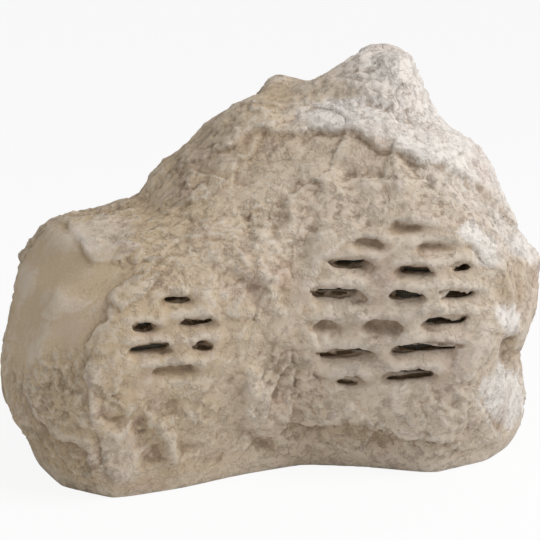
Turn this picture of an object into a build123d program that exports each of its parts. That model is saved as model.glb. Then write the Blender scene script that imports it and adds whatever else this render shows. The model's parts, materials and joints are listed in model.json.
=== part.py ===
from build123d import *
from collections import namedtuple
from math import cos, radians, sin
import os

# Rock shaped garden speaker: a hollow cast boulder on a base plate, a woofer and a tweeter behind louvres
# Millimetres, +Z up, the front faces -Y, the origin is on the ground under the middle of the rock

# Rock form: plan sections from the ground to the peak, each with its reach to the left and right
# and with how far the front and the back stand out at fixed stations along it
Level = namedtuple("Level", "height left right front_left waist front_right back_left back_right")
rock_levels = (
    Level(0, -193, 197, -134, -66, -86, 88, 110),
    Level(9, -197, 200, -137, -69, -89, 92, 114),
    Level(50, -214, 206, -149, -87, -104, 106, 132),
    Level(105, -209, 214, -149, -97, -112, 109, 145),
    Level(150, -200, 213, -132, -97, -106, 96, 146),
    Level(182, -176, 203, -98, -87, -97, 80, 139),
    Level(198, -107, 190, -62, -77, -85, 80, 130),
    Level(232, -71, 167, -40, -56, -62, 90, 114),
    Level(264, -36, 134, -18, -32, -36, 92, 98),
    Level(290, 38, 120, -2, -14, -16, 76, 78),
    Level(312, 70, 110, 4, -4, -4, 56, 56),
)
rock_height = rock_levels[-1].height
front_left_at, waist_at, front_right_at = 0.22, 0.58, 0.80
back_left_at, back_right_at = 0.26, 0.72
shoulder_along, shoulder_out = 0.30, 0.68
outline_pace = (0, 0.09, 0.16, 0.22, 0.31, 0.45, 0.56, 0.64, 0.71, 0.79, 0.87, 1)
facet_count = 20
peak_walls = 4.0

# Shell: its wall, the thicker panels that hold the louvres, and the rim and flange round the base
wall = 5.0
grille_wall = 14.0
rim_wall = 7.0
flange_width = 18.0
flange_thickness = 8.0

# Base plate, its gasket, stiffening ribs and screws
plate_recess = 4.0
plate_thickness = 5.0
plate_clearance = 0.5
gasket_thickness = 2.0
rib_height = 5.0
rib_thickness = 3.0
rib_length = 240.0
rib_span = 80.0
rib_count = 4
rib_spacing = 70.0
rib_y = 12.0
base_screw_count = 10
base_screw_radius = 2.0
base_screw_bite = 6.0

# Fasteners in general: clearances round a shank, and a pan head in terms of its shank
shank_clearance = 0.3
thread_clearance = 0.1
pilot_spare = 1.0
head_ratio = 2.0
head_height_ratio = 1.2
drive_ratio = 0.9

# Louvres: a scoop whose floor slopes in under a brow, and a slit that goes on into the rock below the brow
Louvre = namedtuple("Louvre", "x z width tilt open")
scoop_height = 15.0
scoop_depth = 8.0
scoop_lead = 4.0
slit_height = 5.0
slit_overlap = 1.0
slit_run = 12.0
woofer_louvres = (
    Louvre(8, 59, 34, 0, False),
    Louvre(-21, 46, 30, 6, False),
    Louvre(34, 44, 44, -4, False),
    Louvre(-32, 31, 36, 8, True),
    Louvre(14, 27, 36, -8, True),
    Louvre(51, 28, 22, 0, True),
    Louvre(-42, 8, 44, 0, True),
    Louvre(9, 8, 32, 0, True),
    Louvre(48, 8, 34, -8, True),
    Louvre(37, -12, 40, -6, True),
    Louvre(-10, -15, 36, -4, False),
    Louvre(-50, -15, 24, -6, False),
    Louvre(-34, -38, 46, -6, True),
    Louvre(22, -34, 56, -5, True),
    Louvre(-32, -58, 26, 5, True),
    Louvre(12, -54, 48, -4, True),
)
tweeter_louvres = (
    Louvre(5, 24, 32, 0, True),
    Louvre(-18, 7, 24, 0, True),
    Louvre(19, 7, 34, 0, True),
    Louvre(-16, -10, 38, 3, True),
    Louvre(22, -10, 22, -3, True),
    Louvre(2, -27, 42, 0, False),
)

# Dust screens on the backs of the louvred panels
screen_gap = 0.2
screen_thickness = 1.0
screen_clearance = 0.5

# Woofer: radii, and heights along its axis from the mounting face
woofer_x = 93.0
woofer_z = 136.0
woofer_chamber = 46.0
woofer_pitch = 10.0
woofer_bore = 71.0
woofer_boss = 84.0
woofer_frame_radius = 81.0
woofer_gasket_thickness = 2.0
glue_gap = 0.05
frame_gauge = 2.0
basket_mouth = 64.0
basket_ledge = 50.0
basket_neck = 42.0
basket_hole = 17.0
basket_ledge_depth = 38.0
basket_depth = 51.0
window_count = 6
window_width = 9.0
window_length = 32.0
window_corner = 3.0
window_circle = 57.0
surround_lip = 70.5
surround_gauge = 1.2
surround_rise = 1.2
surround_overlap = 3.5
cone_radius = 53.0
cone_gauge = 1.0
cone_edge_depth = 6.0
cone_depth = 34.0
cap_radius = 24.0
cap_height = 10.0
cap_gauge = 0.8
former_radius = 13.0
former_gauge = 0.4
former_depth = 63.0
coil_gauge = 0.6
coil_length = 14.0
magnet_gap = 0.6
spider_gauge = 0.8
spider_waves = 2
spider_wave_height = 2.0
spider_drop = 5.0
spider_collar = 2.5
spider_seat = 5.5
top_plate_radius = 40.0
top_plate_thickness = 6.0
magnet_radius = 45.0
magnet_bore = 22.0
magnet_thickness = 15.0
yoke_radius = 41.0
yoke_thickness = 6.0
pole_vent = 4.0
strip_width = 34.0
strip_length = 16.0
strip_thickness = 2.0
blade_width = 5.0
blade_length = 8.0
blade_thickness = 0.8
blade_spacing = 20.0
woofer_screw_count = 4
woofer_screw_circle = 76.5
woofer_screw_radius = 2.0
woofer_screw_bite = 8.0

# Tweeter: radii, and heights along its axis from the mounting face
tweeter_x = -71.0
tweeter_z = 123.0
tweeter_chamber = 38.0
tweeter_pitch = 12.0
tweeter_bore = 38.0
tweeter_boss = 49.0
faceplate_radius = 46.0
faceplate_thickness = 6.0
faceplate_throat = 2.0
faceplate_recess = 1.0
tweeter_gasket_thickness = 1.5
horn_mouth = 33.0
dome_radius = 12.5
dome_height = 5.0
dome_gauge = 0.4
dome_skirt = 5.0
dome_roll = 2.0
dome_roll_rise = 0.8
dome_lip = 3.5
dome_lip_thickness = 0.8
dome_coil_gauge = 0.5
dome_coil_length = 4.0
dome_gap = 0.5
dome_depth = 7.0
tweeter_plate_radius = 34.0
tweeter_plate_thickness = 3.5
tweeter_magnet_radius = 35.0
tweeter_magnet_bore = 18.0
tweeter_magnet_thickness = 9.0
back_plate_thickness = 4.0
pole_below_dome = 1.0
tweeter_strip_width = 16.0
tweeter_strip_length = 9.0
tweeter_blade_spacing = 8.0
tweeter_screw_count = 4
tweeter_screw_circle = 42.0
tweeter_screw_radius = 1.6
tweeter_screw_bite = 7.0

# Cable gland in a pocket low on the back: radii, and heights along its axis from its seat
gland_x = 60.0
gland_z = 72.0
gland_hole = 8.0
gland_clearance = 0.3
gland_pocket = 15.0
gland_boss = 20.0
gland_seat_depth = 10.0
gland_flats = 24.0
gland_flange = 5.0
gland_stub = 9.0
gland_stub_length = 9.0
gland_bore = 5.0
gland_tail = 3.0
seal_radius = 6.6
seal_bore = 3.5
seal_base = 4.0
seal_stand = 1.0
nut_flats = 22.0
nut_hex_length = 9.0
nut_dome_length = 6.0
nut_dome_radius = 9.5
nut_gap = 1.0
nut_mouth = 5.0
nut_clearance = 0.1
locknut_thickness = 5.0

# Crossover board on posts of the base plate, and what stands on it
board_x = -45.0
board_y = 18.0
board_length = 112.0
board_width = 76.0
board_thickness = 1.6
board_corner = 4.0
post_height = 9.0
post_radius = 4.5
post_inset = 7.0
board_screw_radius = 1.5
board_screw_bite = 6.0
Coil = namedtuple("Coil", "x y outer inner height")
low_pass_coil = Coil(-27, -14, 20, 9, 16)
high_pass_coil = Coil(14, -18, 13, 6, 12)
Block = namedtuple("Block", "x y length width height")
woofer_film = Block(-26, 20, 31, 15, 24)
tweeter_film = Block(12, 24, 26, 11, 19)
cement_block = Block(12, 6, 38, 9, 9)
block_edge = 1.0
terminal_depth = 12.0
terminal_pitch = 8.0
terminal_ways = 6
terminal_height = 14.0
terminal_entry = 2.0
terminal_entry_height = 5.0
terminal_entry_depth = 6.0
terminal_screw = 2.5
terminal_screw_depth = 3.0
terminal_inset = 2.0

# Searches along lines of sight, and cuts that run out of the rock
sight_reach = 400.0
cut_reach = 120.0

flange_bottom = plate_recess + plate_thickness + gasket_thickness
flange_top = flange_bottom + flange_thickness
plate_top = plate_recess + plate_thickness
plate_inset = rim_wall + plate_clearance
opening_inset = rim_wall + flange_width
screw_line_inset = (plate_inset + opening_inset) / 2


def shoulder(tip, brow):
    """Point on the rounded corner between an end of a section and its front or back."""
    return tip + Vector(shoulder_along * (brow.X - tip.X), shoulder_out * (brow.Y - tip.Y))


def rock_section(level, inset=0.0):
    """Many-sided plan of the rock at a level, drawn in by inset, with the roof lowered as much."""
    left = level.left + inset
    across = level.right - inset - left
    front_left = Vector(left + front_left_at * across, level.front_left + inset)
    waist = Vector(left + waist_at * across, level.waist + inset)
    front_right = Vector(left + front_right_at * across, level.front_right + inset)
    back_right = Vector(left + back_right_at * across, level.back_right - inset)
    back_left = Vector(left + back_left_at * across, level.back_left - inset)
    left_tip = Vector(left, (front_left.Y + back_left.Y) / 2)
    right_tip = Vector(left + across, (front_right.Y + back_right.Y) / 2)
    curve_points = [
        back_left,
        shoulder(left_tip, back_left),
        left_tip,
        shoulder(left_tip, front_left),
        front_left,
        waist,
        front_right,
        shoulder(right_tip, front_right),
        right_tip,
        shoulder(right_tip, back_right),
        back_right,
    ]
    curve = Edge.make_spline(curve_points, periodic=True, parameters=outline_pace)
    with BuildSketch(Plane.XY.offset(level.height * (1 - inset / rock_height))) as section:
        with BuildLine():
            Polyline(*[curve @ (step / facet_count) for step in range(facet_count)], close=True)
        make_face()
    return section.sketch


def rock_sections(inset):
    """Plan sections of the rock, drawn in by inset, up to where the peak is too narrow for its walls."""
    return [
        rock_section(level, inset)
        for level in rock_levels
        if level.right - level.left > peak_walls * inset
    ]


def ground_slab(inset, low, high, window_inset=None):
    """Slab with the outline of the rock's foot, drawn in by inset, open inside window_inset if given."""
    with BuildPart() as slab:
        with BuildSketch(Plane.XY.offset(low)):
            add(rock_section(rock_levels[0], inset))
            if window_inset is not None:
                add(rock_section(rock_levels[0], window_inset), mode=Mode.SUBTRACT)
        extrude(amount=high - low)
    return slab.part


# Rock forms: the outside, the hollow and the back of the louvred panels
with BuildPart() as rock_form:
    loft(rock_sections(0), ruled=True)
with BuildPart() as hollow_form:
    loft(rock_sections(wall), ruled=True)
    split(bisect_by=Plane.XY.offset(flange_top), keep=Keep.TOP)
with BuildPart() as panel_form:
    loft(rock_sections(grille_wall), ruled=True)
with BuildPart() as screen_front_form:
    loft(rock_sections(grille_wall + screen_gap), ruled=True)
with BuildPart() as screen_back_form:
    loft(rock_sections(grille_wall + screen_gap + screen_thickness), ruled=True)


def skin_hit(x, z, towards):
    """Where a level line along Y first meets the rock's skin, and the skin's outward normal there."""
    start = Vector(x, -towards * sight_reach, z)
    return rock_form.part.shell().find_intersection_points(Axis(start, (0, towards, 0)))[0]


def driver_seat(x, z, chamber, pitch):
    """Plane of a driver's mounting face: X to the right, Y up, Z out of the rock and raised by pitch."""
    skin = skin_hit(x, z, 1)[0]
    outwards = Vector(0, -cos(radians(pitch)), sin(radians(pitch)))
    return Plane(origin=(x, skin.Y + chamber, z), x_dir=(1, 0, 0), z_dir=outwards)


def turning_plane(seat):
    """Plane for half profiles about a seat's axis: X is the radius and Y the height along the axis."""
    return Plane(origin=seat.origin, x_dir=seat.x_dir, z_dir=-seat.y_dir)


def seat_axis(seat):
    """Axis of a seat, pointing out of it."""
    return Axis(seat.origin, seat.z_dir)


def half_profile(seat, *points):
    """Closed straight-sided half profile through (radius, height) points."""
    with BuildSketch(turning_plane(seat)) as profile:
        with BuildLine():
            Polyline(*points, close=True)
        make_face()
    return profile.sketch


def ring_profile(seat, inner, outer, low, high):
    """Rectangular half profile of a ring or disc."""
    return half_profile(seat, (inner, low), (outer, low), (outer, high), (inner, high))


def driver_chamber(seat, radius, form):
    """Round space in front of a driver, as far as the given form."""
    with BuildPart() as chamber:
        with BuildSketch(seat):
            Circle(radius)
        extrude(amount=cut_reach)
        add(form.part, mode=Mode.INTERSECT)
    return chamber.part


def driver_screen(seat, bore):
    """Curved screen that lies against the back of a louvred panel, inside the driver's bore."""
    front = driver_chamber(seat, bore - screen_clearance, screen_front_form)
    back = driver_chamber(seat, bore - screen_clearance, screen_back_form)
    with BuildPart() as screen:
        add(front)
        add(back, mode=Mode.SUBTRACT)
    return screen.part


def louvre_outline(width, height, raised):
    """Long six-sided outline with pointed ends, its middle raised above the louvre's own."""
    end, top = width / 2, height / 2
    flat = end - top
    with Locations((0, -raised)):
        Polygon((-end, 0), (-flat, -top), (flat, -top), (end, 0), (flat, top), (-flat, top))


def louvre_cutters(field_x, field_z, louvres):
    """Scoops and slits of one louvred panel, as solids to cut from the rock."""
    floor_rise = scoop_height - slit_height
    flare = floor_rise * scoop_lead / scoop_depth
    with BuildPart() as cutters:
        for louvre in louvres:
            skin, normal = skin_hit(field_x + louvre.x, field_z + louvre.z, 1)
            square = Plane(origin=skin, x_dir=Vector(0, 0, 1).cross(normal), z_dir=-normal)
            mouth = square.rotated((0, 0, louvre.tilt))
            slit_width = louvre.width - floor_rise
            with BuildSketch(mouth.offset(-scoop_lead)):
                louvre_outline(louvre.width + flare, scoop_height + flare, -flare / 2)
            with BuildSketch(mouth.offset(scoop_depth)):
                louvre_outline(slit_width, slit_height, floor_rise / 2)
            loft(ruled=True)
            if louvre.open:
                with BuildSketch(mouth.offset(scoop_depth - slit_overlap)):
                    louvre_outline(slit_width, slit_height, floor_rise / 2)
                extrude(amount=slit_run)
    return cutters.part


def screw_solid(seat, places, radius, grip, bite):
    """Pan head screws at places on a seat: the heads stand on its face, the shanks go in along -Z."""
    head_radius, head_height = radius * head_ratio, radius * head_height_ratio
    with BuildPart() as screws:
        with BuildSketch(seat):
            with Locations(*places):
                Circle(head_radius)
        extrude(amount=head_height)
        with BuildSketch(seat):
            with Locations(*places):
                Circle(radius)
        extrude(amount=-(grip + bite))
        with BuildSketch(seat.offset(head_height)):
            with Locations(*places):
                RegularPolygon(radius * drive_ratio, 6)
        extrude(amount=-head_height / 2, mode=Mode.SUBTRACT)
    return screws.part


def circle_places(count, radius):
    """Evenly spaced places on a circle, the first half a step from the X axis."""
    return [Vector(radius, 0).rotate(Axis.Z, 360 * (step + 0.5) / count) for step in range(count)]


woofer_seat = driver_seat(woofer_x, woofer_z, woofer_chamber, woofer_pitch)
tweeter_seat = driver_seat(tweeter_x, tweeter_z, tweeter_chamber, tweeter_pitch)
woofer_places = circle_places(woofer_screw_count, woofer_screw_circle)
tweeter_places = circle_places(tweeter_screw_count, tweeter_screw_circle)
screw_line = rock_section(rock_levels[0], screw_line_inset).wire()
base_places = [screw_line @ (step / base_screw_count) for step in range(base_screw_count)]
post_grid = (board_length - 2 * post_inset, board_width - 2 * post_inset)

gland_skin = skin_hit(gland_x, gland_z - gland_pocket, -1)[0]
gland_seat = Plane(origin=(gland_x, gland_skin.Y, gland_z), x_dir=(-1, 0, 0), z_dir=(0, 1, 0))

os.makedirs("parts", exist_ok=True)


def save(builder, name):
    """Label a finished piece and write it as a STEP file of that name."""
    builder.part.label = name
    export_step(builder.part, f"parts/{name}.step")


# Rock shell
base_pocket = ground_slab(rim_wall, 0, flange_bottom)
base_opening = ground_slab(opening_inset, flange_bottom, flange_top)
woofer_space = driver_chamber(woofer_seat, woofer_bore, panel_form)
tweeter_space = driver_chamber(tweeter_seat, tweeter_bore, panel_form)
woofer_housing = driver_chamber(woofer_seat, woofer_boss, rock_form)
tweeter_housing = driver_chamber(tweeter_seat, tweeter_boss, rock_form)
woofer_cuts = louvre_cutters(woofer_x, woofer_z, woofer_louvres)
tweeter_cuts = louvre_cutters(tweeter_x, tweeter_z, tweeter_louvres)
with BuildPart() as gland_housing:
    with BuildSketch(gland_seat.offset(-gland_seat_depth)):
        Circle(gland_boss)
    extrude(amount=cut_reach)
    add(rock_form.part, mode=Mode.INTERSECT)

with BuildPart() as rock_shell:
    add(rock_form.part)
    add(hollow_form.part, mode=Mode.SUBTRACT)
    add(base_pocket, mode=Mode.SUBTRACT)
    add(base_opening, mode=Mode.SUBTRACT)
    add(woofer_housing)
    add(tweeter_housing)
    add(gland_housing.part)
    add(woofer_space, mode=Mode.SUBTRACT)
    add(tweeter_space, mode=Mode.SUBTRACT)
    add(woofer_cuts, mode=Mode.SUBTRACT)
    add(tweeter_cuts, mode=Mode.SUBTRACT)
    with BuildSketch(gland_seat):
        Circle(gland_pocket)
    extrude(amount=cut_reach, mode=Mode.SUBTRACT)
    with BuildSketch(gland_seat):
        Circle(gland_hole)
    extrude(amount=-gland_seat_depth, mode=Mode.SUBTRACT)
    with BuildSketch(woofer_seat):
        with Locations(*woofer_places):
            Circle(woofer_screw_radius + thread_clearance)
    extrude(amount=woofer_screw_bite + pilot_spare, mode=Mode.SUBTRACT)
    with BuildSketch(tweeter_seat):
        with Locations(*tweeter_places):
            Circle(tweeter_screw_radius + thread_clearance)
    extrude(amount=tweeter_screw_bite + pilot_spare, mode=Mode.SUBTRACT)
    with BuildSketch(Plane.XY.offset(flange_bottom)):
        with Locations(*base_places):
            Circle(base_screw_radius + thread_clearance)
    extrude(amount=base_screw_bite + pilot_spare, mode=Mode.SUBTRACT)
save(rock_shell, "rock_shell")

# Dust screens behind the louvres
with BuildPart() as woofer_dust_screen:
    add(driver_screen(woofer_seat, woofer_bore))
save(woofer_dust_screen, "woofer_dust_screen")

with BuildPart() as tweeter_dust_screen:
    add(driver_screen(tweeter_seat, tweeter_bore))
save(tweeter_dust_screen, "tweeter_dust_screen")

# Base plate with stiffening ribs and posts for the crossover board
board_centre = (board_x, board_y)
with BuildPart() as base_plate:
    add(ground_slab(plate_inset, plate_recess, plate_top))
    with BuildSketch(Plane.XY.offset(plate_top)):
        with Locations((0, rib_y)):
            Rectangle(rib_length, rib_thickness)
            with GridLocations(rib_spacing, 0, rib_count, 1):
                Rectangle(rib_thickness, rib_span)
    extrude(amount=rib_height)
    with BuildSketch(Plane.XY.offset(plate_top)):
        with Locations(board_centre):
            with GridLocations(*post_grid, 2, 2):
                Circle(post_radius)
    extrude(amount=post_height)
    with BuildSketch(Plane.XY.offset(plate_top + post_height)):
        with Locations(board_centre):
            with GridLocations(*post_grid, 2, 2):
                Circle(board_screw_radius + thread_clearance)
    extrude(amount=-(board_screw_bite + pilot_spare), mode=Mode.SUBTRACT)
    with BuildSketch(Plane.XY.offset(plate_recess)):
        with Locations(*base_places):
            Circle(base_screw_radius + shank_clearance)
    extrude(amount=plate_thickness, mode=Mode.SUBTRACT)
save(base_plate, "base_plate")

with BuildPart() as base_gasket:
    add(ground_slab(plate_inset, plate_top, flange_bottom, opening_inset))
    with BuildSketch(Plane.XY.offset(plate_top)):
        with Locations(*base_places):
            Circle(base_screw_radius + shank_clearance)
    extrude(amount=gasket_thickness, mode=Mode.SUBTRACT)
save(base_gasket, "base_gasket")

plate_underside = Plane(origin=(0, 0, plate_recess), x_dir=(1, 0, 0), z_dir=(0, 0, -1))
under_places = [Vector(place.X, -place.Y) for place in base_places]
base_grip = plate_thickness + gasket_thickness
with BuildPart() as base_screws:
    add(screw_solid(plate_underside, under_places, base_screw_radius, base_grip, base_screw_bite))
save(base_screws, "base_screws")

# Crossover board and its components
board_top = plate_top + post_height + board_thickness
with BuildPart() as crossover_board:
    with BuildSketch(Plane.XY.offset(plate_top + post_height)):
        with Locations(board_centre):
            RectangleRounded(board_length, board_width, board_corner)
            with GridLocations(*post_grid, 2, 2):
                Circle(board_screw_radius + shank_clearance, mode=Mode.SUBTRACT)
    extrude(amount=board_thickness)
save(crossover_board, "crossover_board")

board_plane = Plane(origin=(board_x, board_y, board_top))
board_places = [location.position for location in GridLocations(*post_grid, 2, 2)]
with BuildPart() as crossover_screws:
    add(screw_solid(board_plane, board_places, board_screw_radius, board_thickness, board_screw_bite))
save(crossover_screws, "crossover_screws")


def air_coil(coil):
    """Air-cored coil standing on the board."""
    with BuildPart() as winding:
        with BuildSketch(board_plane):
            with Locations((coil.x, coil.y)):
                Circle(coil.outer)
                Circle(coil.inner, mode=Mode.SUBTRACT)
        extrude(amount=coil.height)
    return winding.part


def potted_block(block):
    """Block-shaped component standing on the board, with rounded edges above."""
    with BuildPart() as potted:
        with BuildSketch(board_plane):
            with Locations((block.x, block.y)):
                Rectangle(block.length, block.width)
        extrude(amount=block.height)
        chamfer(potted.faces().sort_by(Axis.Z)[-1].edges(), block_edge)
    return potted.part


with BuildPart() as low_pass_inductor:
    add(air_coil(low_pass_coil))
save(low_pass_inductor, "low_pass_inductor")

with BuildPart() as high_pass_inductor:
    add(air_coil(high_pass_coil))
save(high_pass_inductor, "high_pass_inductor")

with BuildPart() as woofer_capacitor:
    add(potted_block(woofer_film))
save(woofer_capacitor, "woofer_capacitor")

with BuildPart() as tweeter_capacitor:
    add(potted_block(tweeter_film))
save(tweeter_capacitor, "tweeter_capacitor")

with BuildPart() as tweeter_resistor:
    add(potted_block(cement_block))
save(tweeter_resistor, "tweeter_resistor")

terminal_x = board_length / 2 - terminal_inset - terminal_depth / 2
terminal_face = Plane(
    origin=(board_x + terminal_x + terminal_depth / 2, board_y, board_top + terminal_entry_height),
    x_dir=(0, 1, 0),
    z_dir=(1, 0, 0),
)
with BuildPart() as terminal_block:
    with BuildSketch(board_plane):
        with Locations((terminal_x, 0)):
            Rectangle(terminal_depth, terminal_pitch * terminal_ways)
    extrude(amount=terminal_height)
    with BuildSketch(terminal_face):
        with GridLocations(terminal_pitch, 0, terminal_ways, 1):
            Circle(terminal_entry)
    extrude(amount=-terminal_entry_depth, mode=Mode.SUBTRACT)
    with BuildSketch(board_plane.offset(terminal_height)):
        with Locations((terminal_x, 0)):
            with GridLocations(0, terminal_pitch, 1, terminal_ways):
                Circle(terminal_screw)
    extrude(amount=-terminal_screw_depth, mode=Mode.SUBTRACT)
save(terminal_block, "terminal_block")

# Cable gland
stub_top = gland_flange + gland_stub_length
gland_thread = gland_hole - gland_clearance
tail_end = -(gland_seat_depth + locknut_thickness + gland_tail)
gland_axis = seat_axis(gland_seat)
with BuildPart() as gland_body:
    with BuildSketch(gland_seat):
        RegularPolygon(gland_flats / 2, 6, major_radius=False)
    extrude(amount=gland_flange)
    revolve(ring_profile(gland_seat, 0, gland_thread, tail_end, 0), axis=gland_axis)
    revolve(ring_profile(gland_seat, 0, gland_stub, gland_flange, stub_top), axis=gland_axis)
    passage = ring_profile(gland_seat, 0, gland_bore, tail_end, seal_base)
    revolve(passage, axis=gland_axis, mode=Mode.SUBTRACT)
    socket = ring_profile(gland_seat, 0, seal_radius + nut_clearance, seal_base, stub_top)
    revolve(socket, axis=gland_axis, mode=Mode.SUBTRACT)
save(gland_body, "cable_gland_body")

seal_top = stub_top + seal_stand
with BuildPart() as gland_seal:
    revolve(ring_profile(gland_seat, seal_bore, seal_radius, seal_base, seal_top), axis=gland_axis)
save(gland_seal, "cable_gland_seal")

nut_base = gland_flange + nut_gap
nut_shoulder = nut_base + nut_hex_length
nut_top = nut_shoulder + nut_dome_length
with BuildPart() as gland_nut:
    with BuildSketch(gland_seat.offset(nut_base)):
        RegularPolygon(nut_flats / 2, 6, major_radius=False)
    extrude(amount=nut_hex_length)
    dome = half_profile(
        gland_seat,
        (0, nut_shoulder),
        (nut_dome_radius, nut_shoulder),
        (nut_mouth + nut_gap, nut_top),
        (0, nut_top),
    )
    revolve(dome, axis=gland_axis)
    cavity = half_profile(
        gland_seat,
        (0, nut_base),
        (gland_stub + nut_clearance, nut_base),
        (gland_stub + nut_clearance, stub_top + nut_clearance),
        (seal_radius + nut_clearance, stub_top + nut_clearance),
        (seal_radius + nut_clearance, seal_top + nut_clearance),
        (nut_mouth, seal_top + nut_clearance),
        (nut_mouth, nut_top),
        (0, nut_top),
    )
    revolve(cavity, axis=gland_axis, mode=Mode.SUBTRACT)
save(gland_nut, "cable_gland_nut")

with BuildPart() as gland_locknut:
    with BuildSketch(gland_seat.offset(-gland_seat_depth)):
        RegularPolygon(nut_flats / 2, 6, major_radius=False)
        Circle(gland_thread + nut_clearance, mode=Mode.SUBTRACT)
    extrude(amount=-locknut_thickness)
save(gland_locknut, "cable_gland_locknut")


def back_face(seat, depth):
    """Plane behind a seat at the given depth, facing into the rock."""
    return Plane(origin=seat.offset(-depth).origin, x_dir=seat.x_dir, z_dir=-seat.z_dir)


def mounting_gasket(seat, bore, radius, thickness, places, screw_radius):
    """Flat gasket ring between a driver and its mounting face, with holes for the screws."""
    with BuildPart() as gasket:
        with BuildSketch(seat):
            Circle(radius)
            Circle(bore, mode=Mode.SUBTRACT)
            with Locations(*places):
                Circle(screw_radius + shank_clearance, mode=Mode.SUBTRACT)
        extrude(amount=-thickness)
    return gasket.part


def terminal_strip(seat, depth, inner, width, length, spacing):
    """Strip on the back of a driver, below its axis, with two blades that point down."""
    with BuildPart() as strip:
        with BuildSketch(seat.offset(-depth)):
            with Locations((0, -inner - length / 2)):
                Rectangle(width, length)
        extrude(amount=-strip_thickness)
        with BuildSketch(seat.offset(-depth - strip_thickness)):
            with Locations((0, -inner - length / 2 - blade_length / 2)):
                with GridLocations(spacing, 0, 2, 1):
                    Rectangle(blade_width, length + blade_length)
        extrude(amount=-blade_thickness)
    return strip.part


# Woofer, from the mounting face to the magnet
woofer_axis = seat_axis(woofer_seat)
frame_front = -woofer_gasket_thickness
frame_back = frame_front - frame_gauge
with BuildPart() as woofer_gasket:
    gasket_radii = (woofer_bore, woofer_frame_radius)
    woofer_holes = (woofer_places, woofer_screw_radius)
    add(mounting_gasket(woofer_seat, *gasket_radii, woofer_gasket_thickness, *woofer_holes))
save(woofer_gasket, "woofer_gasket")

basket_inside = (
    (basket_mouth, frame_front),
    (basket_ledge, -basket_ledge_depth),
    (basket_neck, -basket_ledge_depth),
    (basket_neck - frame_gauge, frame_gauge - basket_depth),
)
basket_outside = [(radius + frame_gauge, height - frame_gauge) for radius, height in reversed(basket_inside)]
with BuildPart() as woofer_frame:
    pressed_steel = half_profile(
        woofer_seat,
        (woofer_frame_radius, frame_front),
        *basket_inside,
        (basket_hole, frame_gauge - basket_depth),
        (basket_hole, -basket_depth),
        *basket_outside,
        (woofer_frame_radius, frame_back),
    )
    revolve(pressed_steel, axis=woofer_axis)
    with BuildSketch(woofer_seat.offset(frame_back)):
        with PolarLocations(window_circle, window_count):
            RectangleRounded(window_width, window_length, window_corner)
    extrude(amount=frame_gauge - basket_ledge_depth, mode=Mode.SUBTRACT)
    with BuildSketch(woofer_seat.offset(frame_front)):
        with Locations(*woofer_places):
            Circle(woofer_screw_radius + shank_clearance)
    extrude(amount=-frame_gauge, mode=Mode.SUBTRACT)
save(woofer_frame, "woofer_frame")

surround_mouth = basket_mouth + surround_gauge
surround_edge = cone_radius + surround_gauge
surround_middle = (surround_mouth + surround_edge) / 2
with BuildPart() as woofer_surround:
    with BuildSketch(turning_plane(woofer_seat)):
        with BuildLine():
            crown = (surround_middle, frame_front + surround_rise)
            outer_foot = (surround_mouth, frame_front)
            inner_foot = (surround_edge, -cone_edge_depth)
            ThreePointArc(outer_foot, crown, inner_foot)
            inner_lip = cone_radius - surround_overlap
            Polyline(
                inner_foot,
                (inner_lip, -cone_edge_depth),
                (inner_lip, surround_gauge - cone_edge_depth),
                (surround_edge, surround_gauge - cone_edge_depth),
            )
            ThreePointArc(
                (surround_edge, surround_gauge - cone_edge_depth),
                (surround_middle, frame_front + surround_rise + surround_gauge),
                (surround_mouth, frame_front + surround_gauge),
            )
            Polyline(
                (surround_mouth, frame_front + surround_gauge),
                (surround_lip, frame_front + surround_gauge),
                (surround_lip, frame_front),
                outer_foot,
            )
        make_face()
    revolve(axis=woofer_axis)
save(woofer_surround, "woofer_surround")

cone_rim = cone_radius - surround_overlap
cone_neck = former_radius + glue_gap
with BuildPart() as woofer_cone:
    paper = half_profile(
        woofer_seat,
        (cone_radius, -cone_edge_depth),
        (cone_rim, -cone_edge_depth),
        (cone_neck, -cone_depth),
        (cone_neck, -cone_depth - cone_gauge),
        (cone_rim, -cone_edge_depth - cone_gauge),
        (cone_radius, -cone_edge_depth - cone_gauge),
    )
    revolve(paper, axis=woofer_axis)
save(woofer_cone, "woofer_cone")

cone_slope = (cone_depth - cone_edge_depth) / (cone_rim - cone_neck)
cap_foot = -cone_depth + cone_slope * (cap_radius - cone_neck) + glue_gap
with BuildPart() as woofer_dust_cap:
    with BuildSketch(turning_plane(woofer_seat)):
        with BuildLine():
            cap_top = (0, cap_foot + cap_height)
            cap_under = (0, cap_foot + cap_height - cap_gauge)
            cap_inside = cap_radius - cap_gauge
            TangentArc(cap_top, (cap_radius, cap_foot), tangent=(1, 0))
            Line((cap_radius, cap_foot), (cap_inside, cap_foot))
            TangentArc(cap_under, (cap_inside, cap_foot), tangent=(1, 0))
            Line(cap_under, cap_top)
        make_face()
    revolve(axis=woofer_axis)
save(woofer_dust_cap, "woofer_dust_cap")

former_inside = former_radius - former_gauge
former_top = -cone_depth + cone_gauge
with BuildPart() as woofer_coil_former:
    former_profile = (former_inside, former_radius, -former_depth, former_top)
    revolve(ring_profile(woofer_seat, *former_profile), axis=woofer_axis)
save(woofer_coil_former, "woofer_coil_former")

coil_inside = former_radius + glue_gap
coil_outside = coil_inside + coil_gauge
coil_base = -former_depth + coil_gauge
with BuildPart() as woofer_voice_coil:
    coil_profile = ring_profile(woofer_seat, coil_inside, coil_outside, coil_base, coil_base + coil_length)
    revolve(coil_profile, axis=woofer_axis)
save(woofer_voice_coil, "woofer_voice_coil")

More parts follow.
